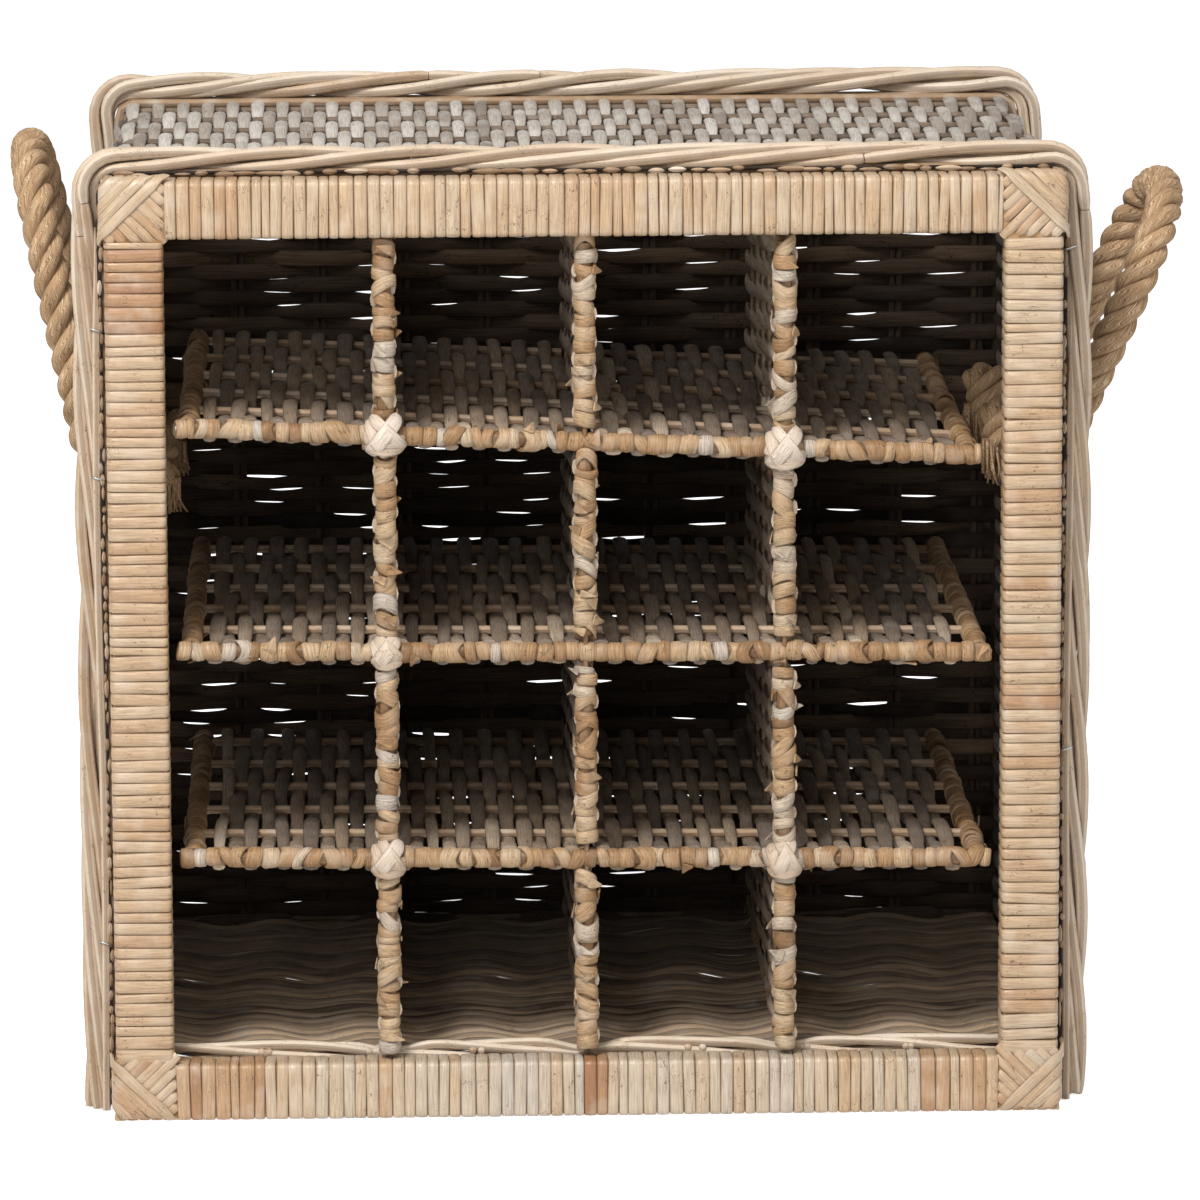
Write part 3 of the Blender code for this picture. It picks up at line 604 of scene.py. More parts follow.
def rim(name, node, tone_middle, pitch, sunk=0.0):
    """Twist a bundle of rods round each other along a rim. sunk lowers its level part."""
    low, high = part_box(node)
    rim_radius = (high.y - low.y) / 2
    rod_radius = rim_radius / (1 + math.sqrt(2))
    swing = rim_radius - rod_radius
    outline = (high.x - rim_radius, low.z - 1.5 * MM, high.z - rim_radius - sunk, RIM_CORNER)
    total = hoop_length(*outline)
    shape = bmesh.new()
    for rod in range(RIM_RODS):
        start = random.uniform(0, 2.5) * MM
        while start < total - 20 * MM:
            end = min(start + random.uniform(*ROD_LENGTHS), total - random.uniform(0, 2.5) * MM)
            if total - end < SHORTEST_ROD:
                end = total - random.uniform(0, 2.5) * MM
            lengths = np.linspace(start, end, max(6, round((end - start) / ROD_STEP)))
            turn = 2 * math.pi * (rod / RIM_RODS + lengths / pitch) + 0.5 * np.sin(lengths / 0.11 + rod)
            points, ups = hoop_path(outline, lengths, (low.y + high.y) / 2 + swing * np.sin(turn),
                                    swing * np.cos(turn))
            taper = np.ones(len(lengths))
            taper[[0, -1]] = 0.8
            lay_cane(shape, points, ups, 2 * rod_radius, ROD_STEP, (tone_middle, 0.12), 10, taper)
            start = end + BUTT_GAP
    settle(name, shape, ROUND_CORE, "basket", "rod_braid", node)


rim("front_rim_rods", "front_rim_braid", 0.56, TWIST_PITCH, 3 * MM)
rim("back_rim_rods", "back_rim_braid", 0.50, TWIST_PITCH * 0.8)

# %% [markdown]
# ## What the rims sit on
#
# A rim never lies on bare weave: brown rods follow the rounded edge of the box under each one.

# %% Seat rods
SEAT_RADIUS = 2.5 * MM
HOOP_STEPS = 200
front_low, front_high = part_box("front_rim_braid")
back_rim_low, back_rim_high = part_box("back_rim_braid")
under_rim = front_high.y - front_low.y
seat_outline = (front_high.x - under_rim - SEAT_RADIUS * 0.6, front_low.z + 4 * MM,
                front_high.z - under_rim - SEAT_RADIUS * 0.6, RIM_CORNER - under_rim / 2)
seat_length = hoop_length(*seat_outline)
shape = bmesh.new()
for y in (front_low.y + 5 * MM, front_high.y - 2 * MM, back_rim_low.y + 1 * MM, back_rim_low.y + 6 * MM,
          back_rim_high.y - 3 * MM):
    points, ups = hoop_path(seat_outline, np.linspace(0, seat_length, HOOP_STEPS), y)
    lay_cane(shape, points, ups, 2 * SEAT_RADIUS, seat_length / HOOP_STEPS, (0.12, 0.06))
settle("rim_seats", shape, ROUND_CORE, "basket", "rod_braid")

# %% [markdown]
# Short ties of peel go round the rim, the rods and the frame. Only their ends show, as a row of pebbles
# in the dark gap beside the frame. So each is one short swollen rod, over a dark ribbon of painted shadow that fills
# the gap.

# %% Ties and the dark gap
TIE_PITCH_TOP = 10.6 * MM
TIE_PITCH_SIDE = 6.4 * MM
TIE_WIDTHS = np.array((0.8, 2.4, 3.2, 3.4, 3.2, 2.4, 0.8)) * MM
SIDE_LENGTH = 0.47
wrap_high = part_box("front_frame_corner_top_right")[1]
tie_outline = (wrap_high.x + 1.3 * MM, 4 * MM, wrap_high.z - 0.1 * MM, RIM_CORNER - under_rim / 2)
tie_length = hoop_length(*tie_outline)
# The ribbon is painted shadow: a dark strip that stands for the shade in the gap beside the frame.
ribbon = bmesh.new()
points, ups = hoop_path(tie_outline, np.linspace(0, tie_length, HOOP_STEPS), front_low.y + 1.2 * MM, 0.4 * MM)
lay_strip(ribbon, points, ups, 1.0 * MM, 1.8 * MM, 0.0, boxy=1.0)
settle("rim_gap_shadow", ribbon, DARK_CORE_PAINTED_SHADE, "basket", "rod_braid")
shape = bmesh.new()
shares = np.linspace(0, 1, len(TIE_WIDTHS))
s = 0.0
while s < tie_length - 8 * MM:
    level = SIDE_LENGTH < s < tie_length - SIDE_LENGTH
    pitch = (TIE_PITCH_TOP if level else TIE_PITCH_SIDE) * vary(1, 0.12, 0.7, 1.3)
    long = pitch * vary(0.95, 0.25, 0.5, 1.5)
    shift = random.gauss(-0.1, 0.5) * MM
    points, ups = hoop_path(tie_outline, s + long * shares,
                            front_low.y + (0.1 + 1.2 * np.abs(shares - 0.5)) * MM, shift)
    widths = TIE_WIDTHS * (1 if level else 0.75)
    if random.random() < 0.92:
        lay_strip(shape, points, ups, widths * 0.8, widths * vary(0.9, 0.2), vary(0.12, 0.16), boxy=0.9)
    s += pitch
settle("rim_ties", shape, ROUND_CORE, "basket", "rod_braid")

# %% [markdown]
# ## Companion rods and staples
#
# A thinner rod stands beside each upright bar of the frame and tapers away towards its top. A few small
# steel staples shine beside it. Drawn wire is grey metal, with faint lines left by the die.

# %% Steel finish
STEEL_WIRE, tree, shader = new_finish("drawn_steel_wire")
place = add_node(tree, "ShaderNodeTexCoord", {}, "Object")
drawn = add_node(tree, "ShaderNodeMapping", {"Vector": place, "Scale": [1 / (size * MM) for size in (40, 0.3, 0.3)]})
die_lines = add_node(tree, "ShaderNodeTexNoise", {"Vector": drawn, "Scale": 1, "Detail": 2}, "Fac")
steel = add_node(tree, "ShaderNodeValToRGB", {"Fac": die_lines}, "Color", [(0.3, "#8E8E90"), (0.7, "#B9BABC")])
rough = add_node(tree, "ShaderNodeMapRange", {0: die_lines, 3: 0.3, 4: 0.5})
set_inputs(shader, {"Base Color": steel, "Roughness": rough, "Metallic": 1.0})
print("drawn_steel_wire")

# %% A thinner rod beside each upright bar, and the staples
COMPANION_RADIUS = 2.1 * MM
COMPANION_TIPS = ((-1, 0.447), (1, 0.398))
STAPLES = ((-1, 0.396), (-1, 0.322), (-1, 0.087), (1, 0.181), (1, 0.433))
STAPLE_BENDS = ((-3.2, 1.5), (-3.0, -0.3), (-1.0, -0.7), (1.0, -0.7), (3.0, -0.3), (3.2, 1.5))
shape = bmesh.new()
for side, tip in COMPANION_TIPS:
    x = side * (wrap_high.x + 4.0 * MM)
    zs = np.linspace(1 * MM, tip, 110)
    points = [(x + 0.7 * MM * math.sin(z / 0.05 + side), front_low.y + 1.9 * MM, z) for z in zs]
    taper = np.interp(zs, (tip - 0.05, tip), (1, 0.1))
    lay_rod(shape, points, (side, 0, 0), rod_widths(len(zs), 2 * COMPANION_RADIUS, zs[1] - zs[0]) * taper, 0.55, 10)
settle("rim_companions", shape, ROUND_CORE, "basket", "rod_braid")
staples = bmesh.new()
for side, z in STAPLES:
    x = side * (wrap_high.x + 3.4 * MM)
    points = [(x + side * reach * MM, front_low.y + deep * MM, z + 0.3 * MM * reach) for reach, deep in STAPLE_BENDS]
    lay_rod(staples, points, (0, -1, 0), 0.8 * MM, 0)
settle("rim_staples", staples, STEEL_WIRE, "basket", "steel_wire")

# %% [markdown]
# ## Woven walls and top
#
# The box is woven in one go round hoops: seven rods that run up the left side, over the top and down
# the right side. Strips of peel run from front to back, over one hoop and under the next, and each
# neighbour does the opposite. Seen along the top, that leaves rows of pale tiles with dark hoops between.
# A strip's height is a cosine of its depth, so it is highest on its own hoops and lowest under the others.

# %% Hoops of the outer weave
HOOP_PITCH = 43.5 * MM
HOOPS_BESIDE = 3
HOOP_RADIUS = 2.4 * MM
PEEL_THICKNESS = 1.9 * MM
WALL_CORNER = 8 * MM

panel_low, panel_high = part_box("left_side_panel")
wall_reach, wall_top, wall_front, wall_back = -panel_low.x, panel_high.z, panel_low.y, panel_high.y
wall_middle = (wall_front + wall_back) / 2
weave_rise = HOOP_RADIUS + PEEL_THICKNESS / 2
weave_inset = weave_rise + 0.9 * PEEL_THICKNESS
outline = (wall_reach - weave_inset, 2 * MM, wall_top - weave_inset, WALL_CORNER - weave_inset / 2)
total = hoop_length(*outline)
shape = bmesh.new()
for number in range(-HOOPS_BESIDE, HOOPS_BESIDE + 1):
    points, ups = hoop_path(outline, np.linspace(0, total, 220), wall_middle + HOOP_PITCH * number)
    lay_cane(shape, points, ups, 2 * HOOP_RADIUS, total / len(points), (0.35, 0.15))
settle("wall_hoops", shape, FLOOR_CORE, "basket", "rod_braid")

# %% Strips of the outer weave
PEEL_PITCH = 6.5 * MM
PEEL_WIDTH = 7.1 * MM
STRIP_START = 5 * MM
STRIP_STOP = 0.5 * MM
FOOT_HEIGHT = 8.8 * MM
CROWN_SHARES = (-0.5, -0.46, -0.40, -0.25, 0.0, 0.25, 0.40, 0.46)


def crown_depths(first, last, middle, pitch):
    """Places along a woven strip, close together where it dives between two rods."""
    steps = [middle + pitch * (number + share) for number in range(-9, 10) for share in CROWN_SHARES]
    return np.array([first] + [depth for depth in steps if first + 0.4 * MM < depth < last - 0.4 * MM] + [last])


def signed_power(wave, power):
    """A wave with fuller crowns and steeper dives."""
    return np.sign(wave) * np.abs(wave) ** power


walls = {"left": bmesh.new(), "top": bmesh.new(), "right": bmesh.new()}
beside = int(total / 2 / PEEL_PITCH)
depths = crown_depths(wall_front + STRIP_START, wall_back - STRIP_STOP, wall_middle, HOOP_PITCH)
for column in range(-beside, beside + 1):
    (x, z), (out_x, out_z) = hoop_place(total / 2 + PEEL_PITCH * column, *outline)
    if z < FOOT_HEIGHT + PEEL_PITCH / 2:
        continue
    part = "left" if out_x < -0.7 else "right" if out_x > 0.7 else "top"
    wave = (-1 if column % 2 else 1) * np.cos(math.pi * (depths - wall_middle) / HOOP_PITCH)
    rise = weave_rise * signed_power(wave, 0.55) + random.gauss(0, 0.2) * MM
    points = np.stack((x + out_x * rise, depths + random.gauss(0, 0.8) * MM, z + out_z * rise), 1)
    width = PEEL_WIDTH * vary(1.0, 0.05, 0.9, 1.08) * (0.78 + 0.22 * np.abs(wave) ** 0.5)
    lay_strip(walls[part], points, (out_x, 0, out_z), width, PEEL_THICKNESS * (0.7 + 1.1 * np.abs(wave) ** 0.6),
              vary(0.5, 0.3), boxy=1.0)
for part, node in (("left", "left_side_panel"), ("top", "top_panel"), ("right", "right_side_panel")):
    settle(part + "_weave", walls[part], BLEACHED_PEEL, "basket", "woven_peel", node)

# %% [markdown]
# ## Feet of the walls
#
# The lowest edge of a woven wall needs a border, or its strips would slide off. Three rods are plaited
# along the foot of each side wall, and three more lie level along the foot of the back.

# %% Plaited feet of the two walls and the back
FOOT_ROD = 4.1 * MM
FOOT_RODS = 3
FOOT_PITCH = 52 * MM
FOOT_TONE = (0.3, 0.12)
swing = FOOT_HEIGHT / 2 - FOOT_ROD / 2
shape = bmesh.new()
for side in (-1, 1):
    for rod in range(FOOT_RODS):
        ys = np.linspace(wall_front + STRIP_START, wall_back - STRIP_STOP, 90)
        turn = 2 * math.pi * (ys / FOOT_PITCH + rod / FOOT_RODS)
        points = np.stack((side * (wall_reach - FOOT_HEIGHT / 2 + swing * np.cos(turn)), ys,
                           FOOT_HEIGHT / 2 + 0.2 * MM + swing * np.sin(turn)), 1)
        lay_cane(shape, points, (side, 0, 0), FOOT_ROD, ys[1] - ys[0], FOOT_TONE)
for z in (22.4 * MM, 26.6 * MM, 30.8 * MM):
    xs = np.linspace(-wall_reach + 9 * MM, wall_reach - 9 * MM, 120)
    points = [(x, wall_back - 2.5 * MM, z + 0.3 * MM * math.sin(x / 0.03 + z)) for x in xs]
    lay_cane(shape, points, (0, 1, 0), FOOT_ROD, xs[1] - xs[0], FOOT_TONE)
settle("plaited_feet", shape, FLOOR_CORE, "basket", "rod_braid")

# %% [markdown]
# ## Back wall
#
# The back is woven from round core instead: pairs of upright stakes, with weavers that pass in front of
# one pair and behind the next. It is loose, so white slits of daylight show where two weavers drift apart.

# %% Stakes of the back wall
STAKE_PITCH = 43.6 * MM
STAKE_RADIUS = 1.8 * MM
CORNER_POST = 3.6 * MM

back_low, back_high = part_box("back_panel")
back_middle = (back_low + back_high) / 2
shape = bmesh.new()
for number in range(-5, 6):
    for beside in (-1, 1):
        x = STAKE_PITCH * number + beside * STAKE_RADIUS * 0.96
        points = [(x + 0.3 * MM * math.sin(z / 0.03), back_middle.y, z)
                  for z in np.linspace(back_low.z + 1 * MM, back_high.z - 1 * MM, 60)]
        lay_rod(shape, points, (0, -1, 0), 2 * STAKE_RADIUS, vary(0.45, 0.1))
for x in (back_low.x - CORNER_POST / 2, back_high.x + CORNER_POST / 2):
    points = [(x, back_middle.y, z) for z in np.linspace(9 * MM, back_high.z, 30)]
    lay_rod(shape, points, (0, -1, 0), 2 * CORNER_POST, 0.3, 10)

# %% Weavers of the back wall
WEAVER_TALL = 8.7 * MM
WEAVER_DEEP = 2.6 * MM
WEAVER_PITCH = 7.05 * MM
SLIT_CHANCE = 0.40
SLIT_OPENS = (0.22, 0.31)
LAST_SLIT = 0.195
weaver_rise = STAKE_RADIUS + WEAVER_DEEP / 2
xs = np.linspace(back_low.x + 0.3 * MM, back_high.x - 0.3 * MM, 150)
for row in range(-32, 32):
    wave = (1 if row % 2 else -1) * np.cos(math.pi * xs / STAKE_PITCH)
    squeeze = np.zeros(len(xs))
    for bay in range(-6, 6):
        opened = random.uniform(*SLIT_OPENS) if random.random() < SLIT_CHANCE else 0.0
        middle = STAKE_PITCH * (bay + 0.5 + random.uniform(-0.12, 0.12))
        opened = 0.0 if middle > LAST_SLIT else opened
        lens = np.clip(1 - np.abs((xs - middle) / (STAKE_PITCH * random.uniform(0.26, 0.46))), 0, 1) ** 0.45
        squeeze = squeeze + opened * lens
    zs = back_middle.z + WEAVER_PITCH * row - squeeze / 2 * WEAVER_TALL + random.gauss(0, 0.1) * MM
    ys = back_middle.y - weaver_rise * signed_power(wave, 0.7)
    lay_strip(shape, np.stack((xs, ys, zs), 1), (0, -1, 0), WEAVER_TALL * (1 - squeeze), WEAVER_DEEP,
              vary(0.4, 0.25), boxy=0.7)
# The back wall's dark finish is painted shade: it is darkened where little light reaches inside the box.
settle("back_weave", shape, DARK_CORE_PAINTED_SHADE, "basket", "dark_weave", "back_panel")

# %% [markdown]
# ## Floor
#
# The floor has stakes that run from front to back, under rows of flat rods laid close together. Each row
# rides over and dips between the stakes, nearly in step, which makes the wavy bands seen inside the box.

# %% Stakes and rows of the floor
FLOOR_STAKE_PITCH = 54 * MM
FLOOR_STAKES = range(-4, 5)
FLOOR_ROW_PITCH = 7.0 * MM
FLOOR_ROD = 8.4 * MM
FLOOR_ROD_TALL = 3.6 * MM
FLOOR_WAVE = 1.9 * MM
UP = (0, 0, 1)
base_low, base_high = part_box("base_panel")
floor_z = base_high.z - FLOOR_ROD_TALL / 2 - FLOOR_WAVE
shape = bmesh.new()
for number in FLOOR_STAKES:
    points = [(FLOOR_STAKE_PITCH * number + 0.5 * MM * math.sin(y / 0.05), y, base_low.z + 2.6 * MM)
              for y in np.linspace(base_low.y, base_high.y, 60)]
    lay_strip(shape, points, UP, 6 * MM, 4.6 * MM, vary(0.6, 0.1), sides=10, boxy=0.9)
xs = np.linspace(base_low.x + 0.3 * MM, base_high.x - 0.3 * MM, 120)
for row in range(int((base_high.y - base_low.y - 6 * MM) / FLOOR_ROW_PITCH)):
    drift = np.interp(xs, np.linspace(xs[0], xs[-1], 14), [random.gauss(0, 1.2) * MM for cell in range(14)])
    wave = np.cos(2 * math.pi * xs / FLOOR_STAKE_PITCH + 0.5 * math.sin(row / 7) + random.gauss(0, 0.3))
    zs = floor_z + FLOOR_WAVE * wave * (0.75 + 0.25 * math.sin(row / 3)) + random.gauss(0, 0.35) * MM
    zs = np.minimum(zs, base_high.z - FLOOR_ROD_TALL / 2)
    ys = base_low.y + FLOOR_ROW_PITCH * (row + 0.5) + drift + 0.8 * MM * wave
    lay_strip(shape, np.stack((xs, ys, zs), 1), UP, FLOOR_ROD * vary(1.0, 0.1, 0.9, 1.15), FLOOR_ROD_TALL,
              vary(0.55, 0.3), boxy=1.0)
settle("floor_weave", shape, FLOOR_CORE, "basket", "dark_weave", "base_panel")

# %% [markdown]
# Along the front edge of the floor four paler rods are twined round the ends of the stakes. They dip
# where the divider's three uprights stand on them. The cut ends of the stakes stick out below.

# %% Twined rods along the front of the floor
TWINE_RADIUS = 2.3 * MM
TWINE_PITCH = 0.27
TWINE_SWING = 4.6 * MM
TWINE_RODS = 4
upright_x = [sum(corner.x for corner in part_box("upright_%d" % number)) / 2 for number in (1, 2, 3)]
twine_low, twine_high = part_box("floor_edge_twine")
xs = np.linspace(twine_low.x + 0.5 * MM, twine_high.x - 0.5 * MM, 170)
taper = np.interp(xs, (xs[0], xs[0] + 0.05), (0.8, 1))
shape = bmesh.new()
for rod in range(TWINE_RODS):
    turn = 2 * math.pi * ((xs - twine_low.x) / TWINE_PITCH - rod / TWINE_RODS)
    ys = (twine_low.y + twine_high.y) / 2 - 1.8 * MM * np.sin(turn)
    zs = twine_high.z - 2.6 * MM + TWINE_SWING * np.cos(turn) + 0.4 * MM * np.sin(xs / 0.012 + rod)
    for x in upright_x:
        under = twine_high.z - TWINE_RADIUS - 0.3 * MM + 9 * MM * (1 - np.exp(-((xs - x) / 0.022) ** 2))
        zs = (zs + under - np.hypot(zs - under, 2.5 * MM)) / 2
    lay_cane(shape, np.stack((xs, ys, zs), 1), UP, 2 * TWINE_RADIUS, xs[1] - xs[0], (0.5, 0.12), 10, taper)
for number in FLOOR_STAKES:
    for beside in (-2.4, 2.4):
        x = FLOOR_STAKE_PITCH * number + (beside + random.gauss(0, 0.8)) * MM
        points = [(x, twine_low.y + depth * MM, twine_low.z + 9.6 * MM) for depth in (0.3, 0.8, 4.0, 8.0)]
        lay_rod(shape, points, UP, np.array((3.0, 3.9, 4.2, 4.2)) * MM, vary(0.5, 0.15), 10)
settle("floor_twine", shape, ROUND_CORE, "basket", "rod_braid", "floor_edge_twine")

# %% [markdown]
# ## Rattan poles
#
# Thick poles lie in the long corners of the box and along the back, where they hold the walls square.
# They are whole stems with their skin on, straw yellow and shiny, with a ring at every growth node.

# %% Pole finish and the six poles
POLE_SKIN = rattan("rattan_pole_with_skin", [(0.0, "#A8834F"), (1.0, "#D3B27E"), (0.5, "#C09A66")], "#5E4426",
                   "#CDB897", 0.9 * MM, 60 * MM, 0.3, 0.28, 0.5, 0.25)
POLES = ["corner_pole_bottom_left", "corner_pole_bottom_right", "corner_pole_top_left", "corner_pole_top_right",
         "back_pole_bottom", "back_pole_top"]
POLE_STEP = 2.5 * MM
shape = bmesh.new()
for node in POLES:
    low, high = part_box(node)
    along = 0 if high.x - low.x > high.y - low.y else 1
    diameter = min(high - low)
    points = np.tile((low + high) / 2, (round((high[along] - low[along]) / POLE_STEP), 1))
    points[:, along] = np.linspace(low[along], high[along], len(points))
    widths = rod_widths(len(points), diameter * 0.95, POLE_STEP)
    widths[[0, -1]] *= 0.9
    lay_strip(shape, points, UP, widths, np.minimum(widths, diameter), vary(0.5, 0.2), sides=16, boxy=1.0)
settle("poles", shape, POLE_SKIN, "basket", "rattan_pole", *POLES)

# %% [markdown]
# ## The divider
#
# Three shelves and three uprights slot into each other like the card in a wine box, so the whole insert
# can be pulled out. Each is a stiff mat: rods across it, and peel woven over and under them from front to
# back. Its front edge is a thick rod bound with strips, whose ends poke out. Every strip of the mat dips
# more steeply next to that edge, because the bound rod is thicker than the others.

# %% The weave of one mat
MAT_ROWS = 5
MAT_ROD_RADIUS = 2.2 * MM
MAT_STRIP = 2.0 * MM
EDGE_RISE = 4.6 * MM

roll_y = sum(corner.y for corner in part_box("shelf_2_edge_rod")) / 2
shelf_low, shelf_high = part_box("shelf_2")
roll_radius = roll_y - shelf_low.y
mat_back = shelf_high.y
halving_y = (roll_y + mat_back) / 2
row_pitch = (mat_back - roll_y) / (MAT_ROWS + 0.25)
rows_at = [roll_y + row_pitch * number for number in range(1, MAT_ROWS + 1)]


def mat_strip(shape, place, up, number, start, width, tone):
    """One strip of a mat. place gives the point for a depth and a height above the mat's middle plane."""
    depths = crown_depths(start, mat_back - 0.8 * MM, roll_y, row_pitch)
    wave = (1 if number % 2 else -1) * np.cos(math.pi * (depths - roll_y) / row_pitch)
    thin_rise = MAT_ROD_RADIUS + MAT_STRIP / 2
    rise = np.interp(depths, (roll_y, roll_y + row_pitch * 0.8), (EDGE_RISE, thin_rise))
    sway = random.gauss(0, 0.9) * MM * np.sin((depths - roll_y) / 0.045 + number) + random.gauss(0, 0.35) * MM
    heights = rise * signed_power(wave, 0.5) + random.gauss(0, 0.25) * MM
    points = [place(depth, height, shift) for depth, height, shift in zip(depths, heights, sway)]
    round_ends = np.abs(wave) ** 0.4
    lay_strip(shape, points, up, width * (0.84 + 0.17 * round_ends), MAT_STRIP * (0.7 + 1.0 * round_ends), tone,
              boxy=1.0)


def mat_rods(shape, ends, up, place):
    """The rods of one row, each between a pair of ends. place gives the point for a length and a sideways wander."""
    for first, last in zip(ends[::2], ends[1::2]):
        lengths = np.linspace(first, last, max(8, round((last - first) / (6 * MM))))
        points = [place(length, 0.4 * MM * math.sin(length / 0.021)) for length in lengths]
        lay_rod(shape, points, up, 2 * MAT_ROD_RADIUS, vary(0.25, 0.12))


def beside_each(places, reach):
    """Both sides of each place, in order."""
    return [place + side * reach for place in places for side in (-1, 1)]


def settle_mat(node, weave, rods, edges):
    settle(node + "_weave", weave, WEATHERED_PEEL, "divider_insert", "woven_peel", node)
    settle(node + "_rods", rods, ROUND_CORE, "divider_insert", "rod_braid")
    settle(node + "_binding", edges, BOUND_PEEL, "divider_insert", "binding_cane")


# %% [markdown]
# The turns round an edge were laid by hand: some cross the others, the width and the slope change from
# turn to turn, and here and there the torn end of a strip lifts off. So each turn is a ring of its own,
# and some of them get a loose end, a pointed tongue that curls away.

# %% Bind an edge of a mat
CROSSED_TURNS = 0.10
TURN_POINTS = 14


def bound_edge(shape, start, end, radius, across, tone_middle, turn_width, ragged, tilt=9, pale=0.08, puffy=3.0):
    """Bind an edge from start to end with puffy turns of peel over a dark core. across is square to it."""
    start, end = Vector(start), Vector(end)
    axis = (end - start).normalized()
    first = Vector(across).normalized()
    second = axis.cross(first)
    length = (end - start).length
    core = [start + axis * length * share for share in np.linspace(0.01, 0.99, 12)]
    lay_strip(shape, core, first, 1.3 * radius, 1.3 * radius, 0.98, sides=10, boxy=1.0)
    place = 0.0
    while place < length - turn_width * 0.3:
        wide = min(turn_width * vary(1, 0.18, 0.55, 1.4), length - place)
        inside = 1.5 * turn_width < place < length - 3 * turn_width
        crossed = inside and random.random() < CROSSED_TURNS
        slope = math.tan(math.radians(random.choice((-32, 32)) if crossed else random.gauss(0, tilt))) * radius
        lean = random.uniform(0, 2 * math.pi)
        thick = puffy * MM * vary(1, 0.15, 0.7, 1.3)
        out = radius - thick / 2 - (-0.05 if crossed else random.random() * 0.12) * radius
        middle = (start + axis * (place + wide / 2) + first * random.gauss(0, 0.35) * MM
                  + second * random.gauss(0, 0.35) * MM)
        points, ups = [], []
        for turn in np.linspace(0, 2 * math.pi, TURN_POINTS, endpoint=False):
            up = first * math.cos(turn) + second * math.sin(turn)
            points.append(middle + axis * slope * math.cos(turn - lean) + up * out)
            ups.append(up)
        tone = vary(0.05, 0.05) if random.random() < pale else vary(tone_middle, 0.18)
        lay_strip(shape, points, ups, wide * 1.1, thick, tone, closed=True, boxy=0.85)
        if random.random() < ragged:
            torn_end(shape, start + axis * (place + wide / 2), axis, first, second, radius, wide, tone)
        place += wide


def torn_end(shape, middle, axis, first, second, radius, wide, tone):
    """The loose end of a turn: a pointed tongue that lifts off the edge."""
    turn = random.uniform(0, 2 * math.pi)
    side = random.choice((-1, 1))
    reach = random.uniform(2.5, 6.5) * MM
    points, ups = [], []
    for share in np.linspace(0, 1, 7):
        at = turn + side * (0.9 - share * 1.1)
        up = first * math.cos(at) + second * math.sin(at)
        lift = radius + 0.2 * MM + reach * max(0.0, share - 0.35) ** 1.5
        points.append(middle + axis * (share * side * 0.35 * wide) + up * lift)
        ups.append(up)
    widths = wide * np.array((0.8, 0.85, 0.75, 0.6, 0.45, 0.3, 0.08))
    lay_strip(shape, points, ups, widths, 0.9 * MM, tone, sides=6, boxy=0.6)


# %% [markdown]
# A shelf is woven between the uprights, and no strip runs where one stands. Behind its middle a shelf's
# rods are cut at the uprights, and in front of it the uprights' rods are cut at the shelves, because the
# two mats are halved into each other. The top shelf slopes most, down to the right.

# %% Weave the three shelves
SHELF_COLUMNS = (15, 14, 13)
SHELF_ROLL = 5.4 * MM
MAT_FRONT = roll_y - 1.0 * MM
shelves = []
for number, columns in enumerate(SHELF_COLUMNS, 1):
    node = "shelf_%d" % number
    low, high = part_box(node)
    rod_low, rod_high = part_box(node + "_edge_rod")
    slope = -((rod_high.z - rod_low.z) - (rod_high.y - rod_low.y)) / (rod_high.x - rod_low.x)
    height = (rod_low.z + rod_high.z) / 2 - slope * (rod_low.x + rod_high.x) / 2
    shelves.append((height, slope))
    mat, rods, edges = bmesh.new(), bmesh.new(), bmesh.new()
    pitch = upright_x[2] / columns
    first_column = math.ceil((low.x + 2.1 * roll_radius) / pitch)
    last_column = math.floor((high.x - 2.1 * roll_radius) / pitch)
    for column in range(first_column, last_column + 1):
        if column not in (-columns, 0, columns):
            x = pitch * column
            mat_strip(mat, lambda depth, rise, shift: (x + shift, depth, height + slope * x + rise), UP, column,
                      MAT_FRONT, 7.6 * MM * vary(1, 0.08, 0.8, 1.15), vary(0.5, 0.2))
    for y in rows_at:
        ends = [low.x + roll_radius, *(beside_each(upright_x, 3.8 * MM) if y > halving_y else []),
                high.x - roll_radius]
        mat_rods(rods, ends, UP, lambda x, wander: (x, y + wander, height + slope * x))
    bound_edge(edges, (low.x, roll_y, height + slope * low.x), (high.x, roll_y, height + slope * high.x), SHELF_ROLL,
               UP, 0.55, 7.0 * MM, 0.12, 13)
    for x in (low.x + roll_radius, high.x - roll_radius):
        z = height + slope * x
        bound_edge(edges, (x, roll_y + roll_radius, z), (x, mat_back - 1 * MM, z), SHELF_ROLL, UP, 0.7, 6.5 * MM,
                   0.1, 6, 0)
    settle_mat(node, mat, rods, edges)
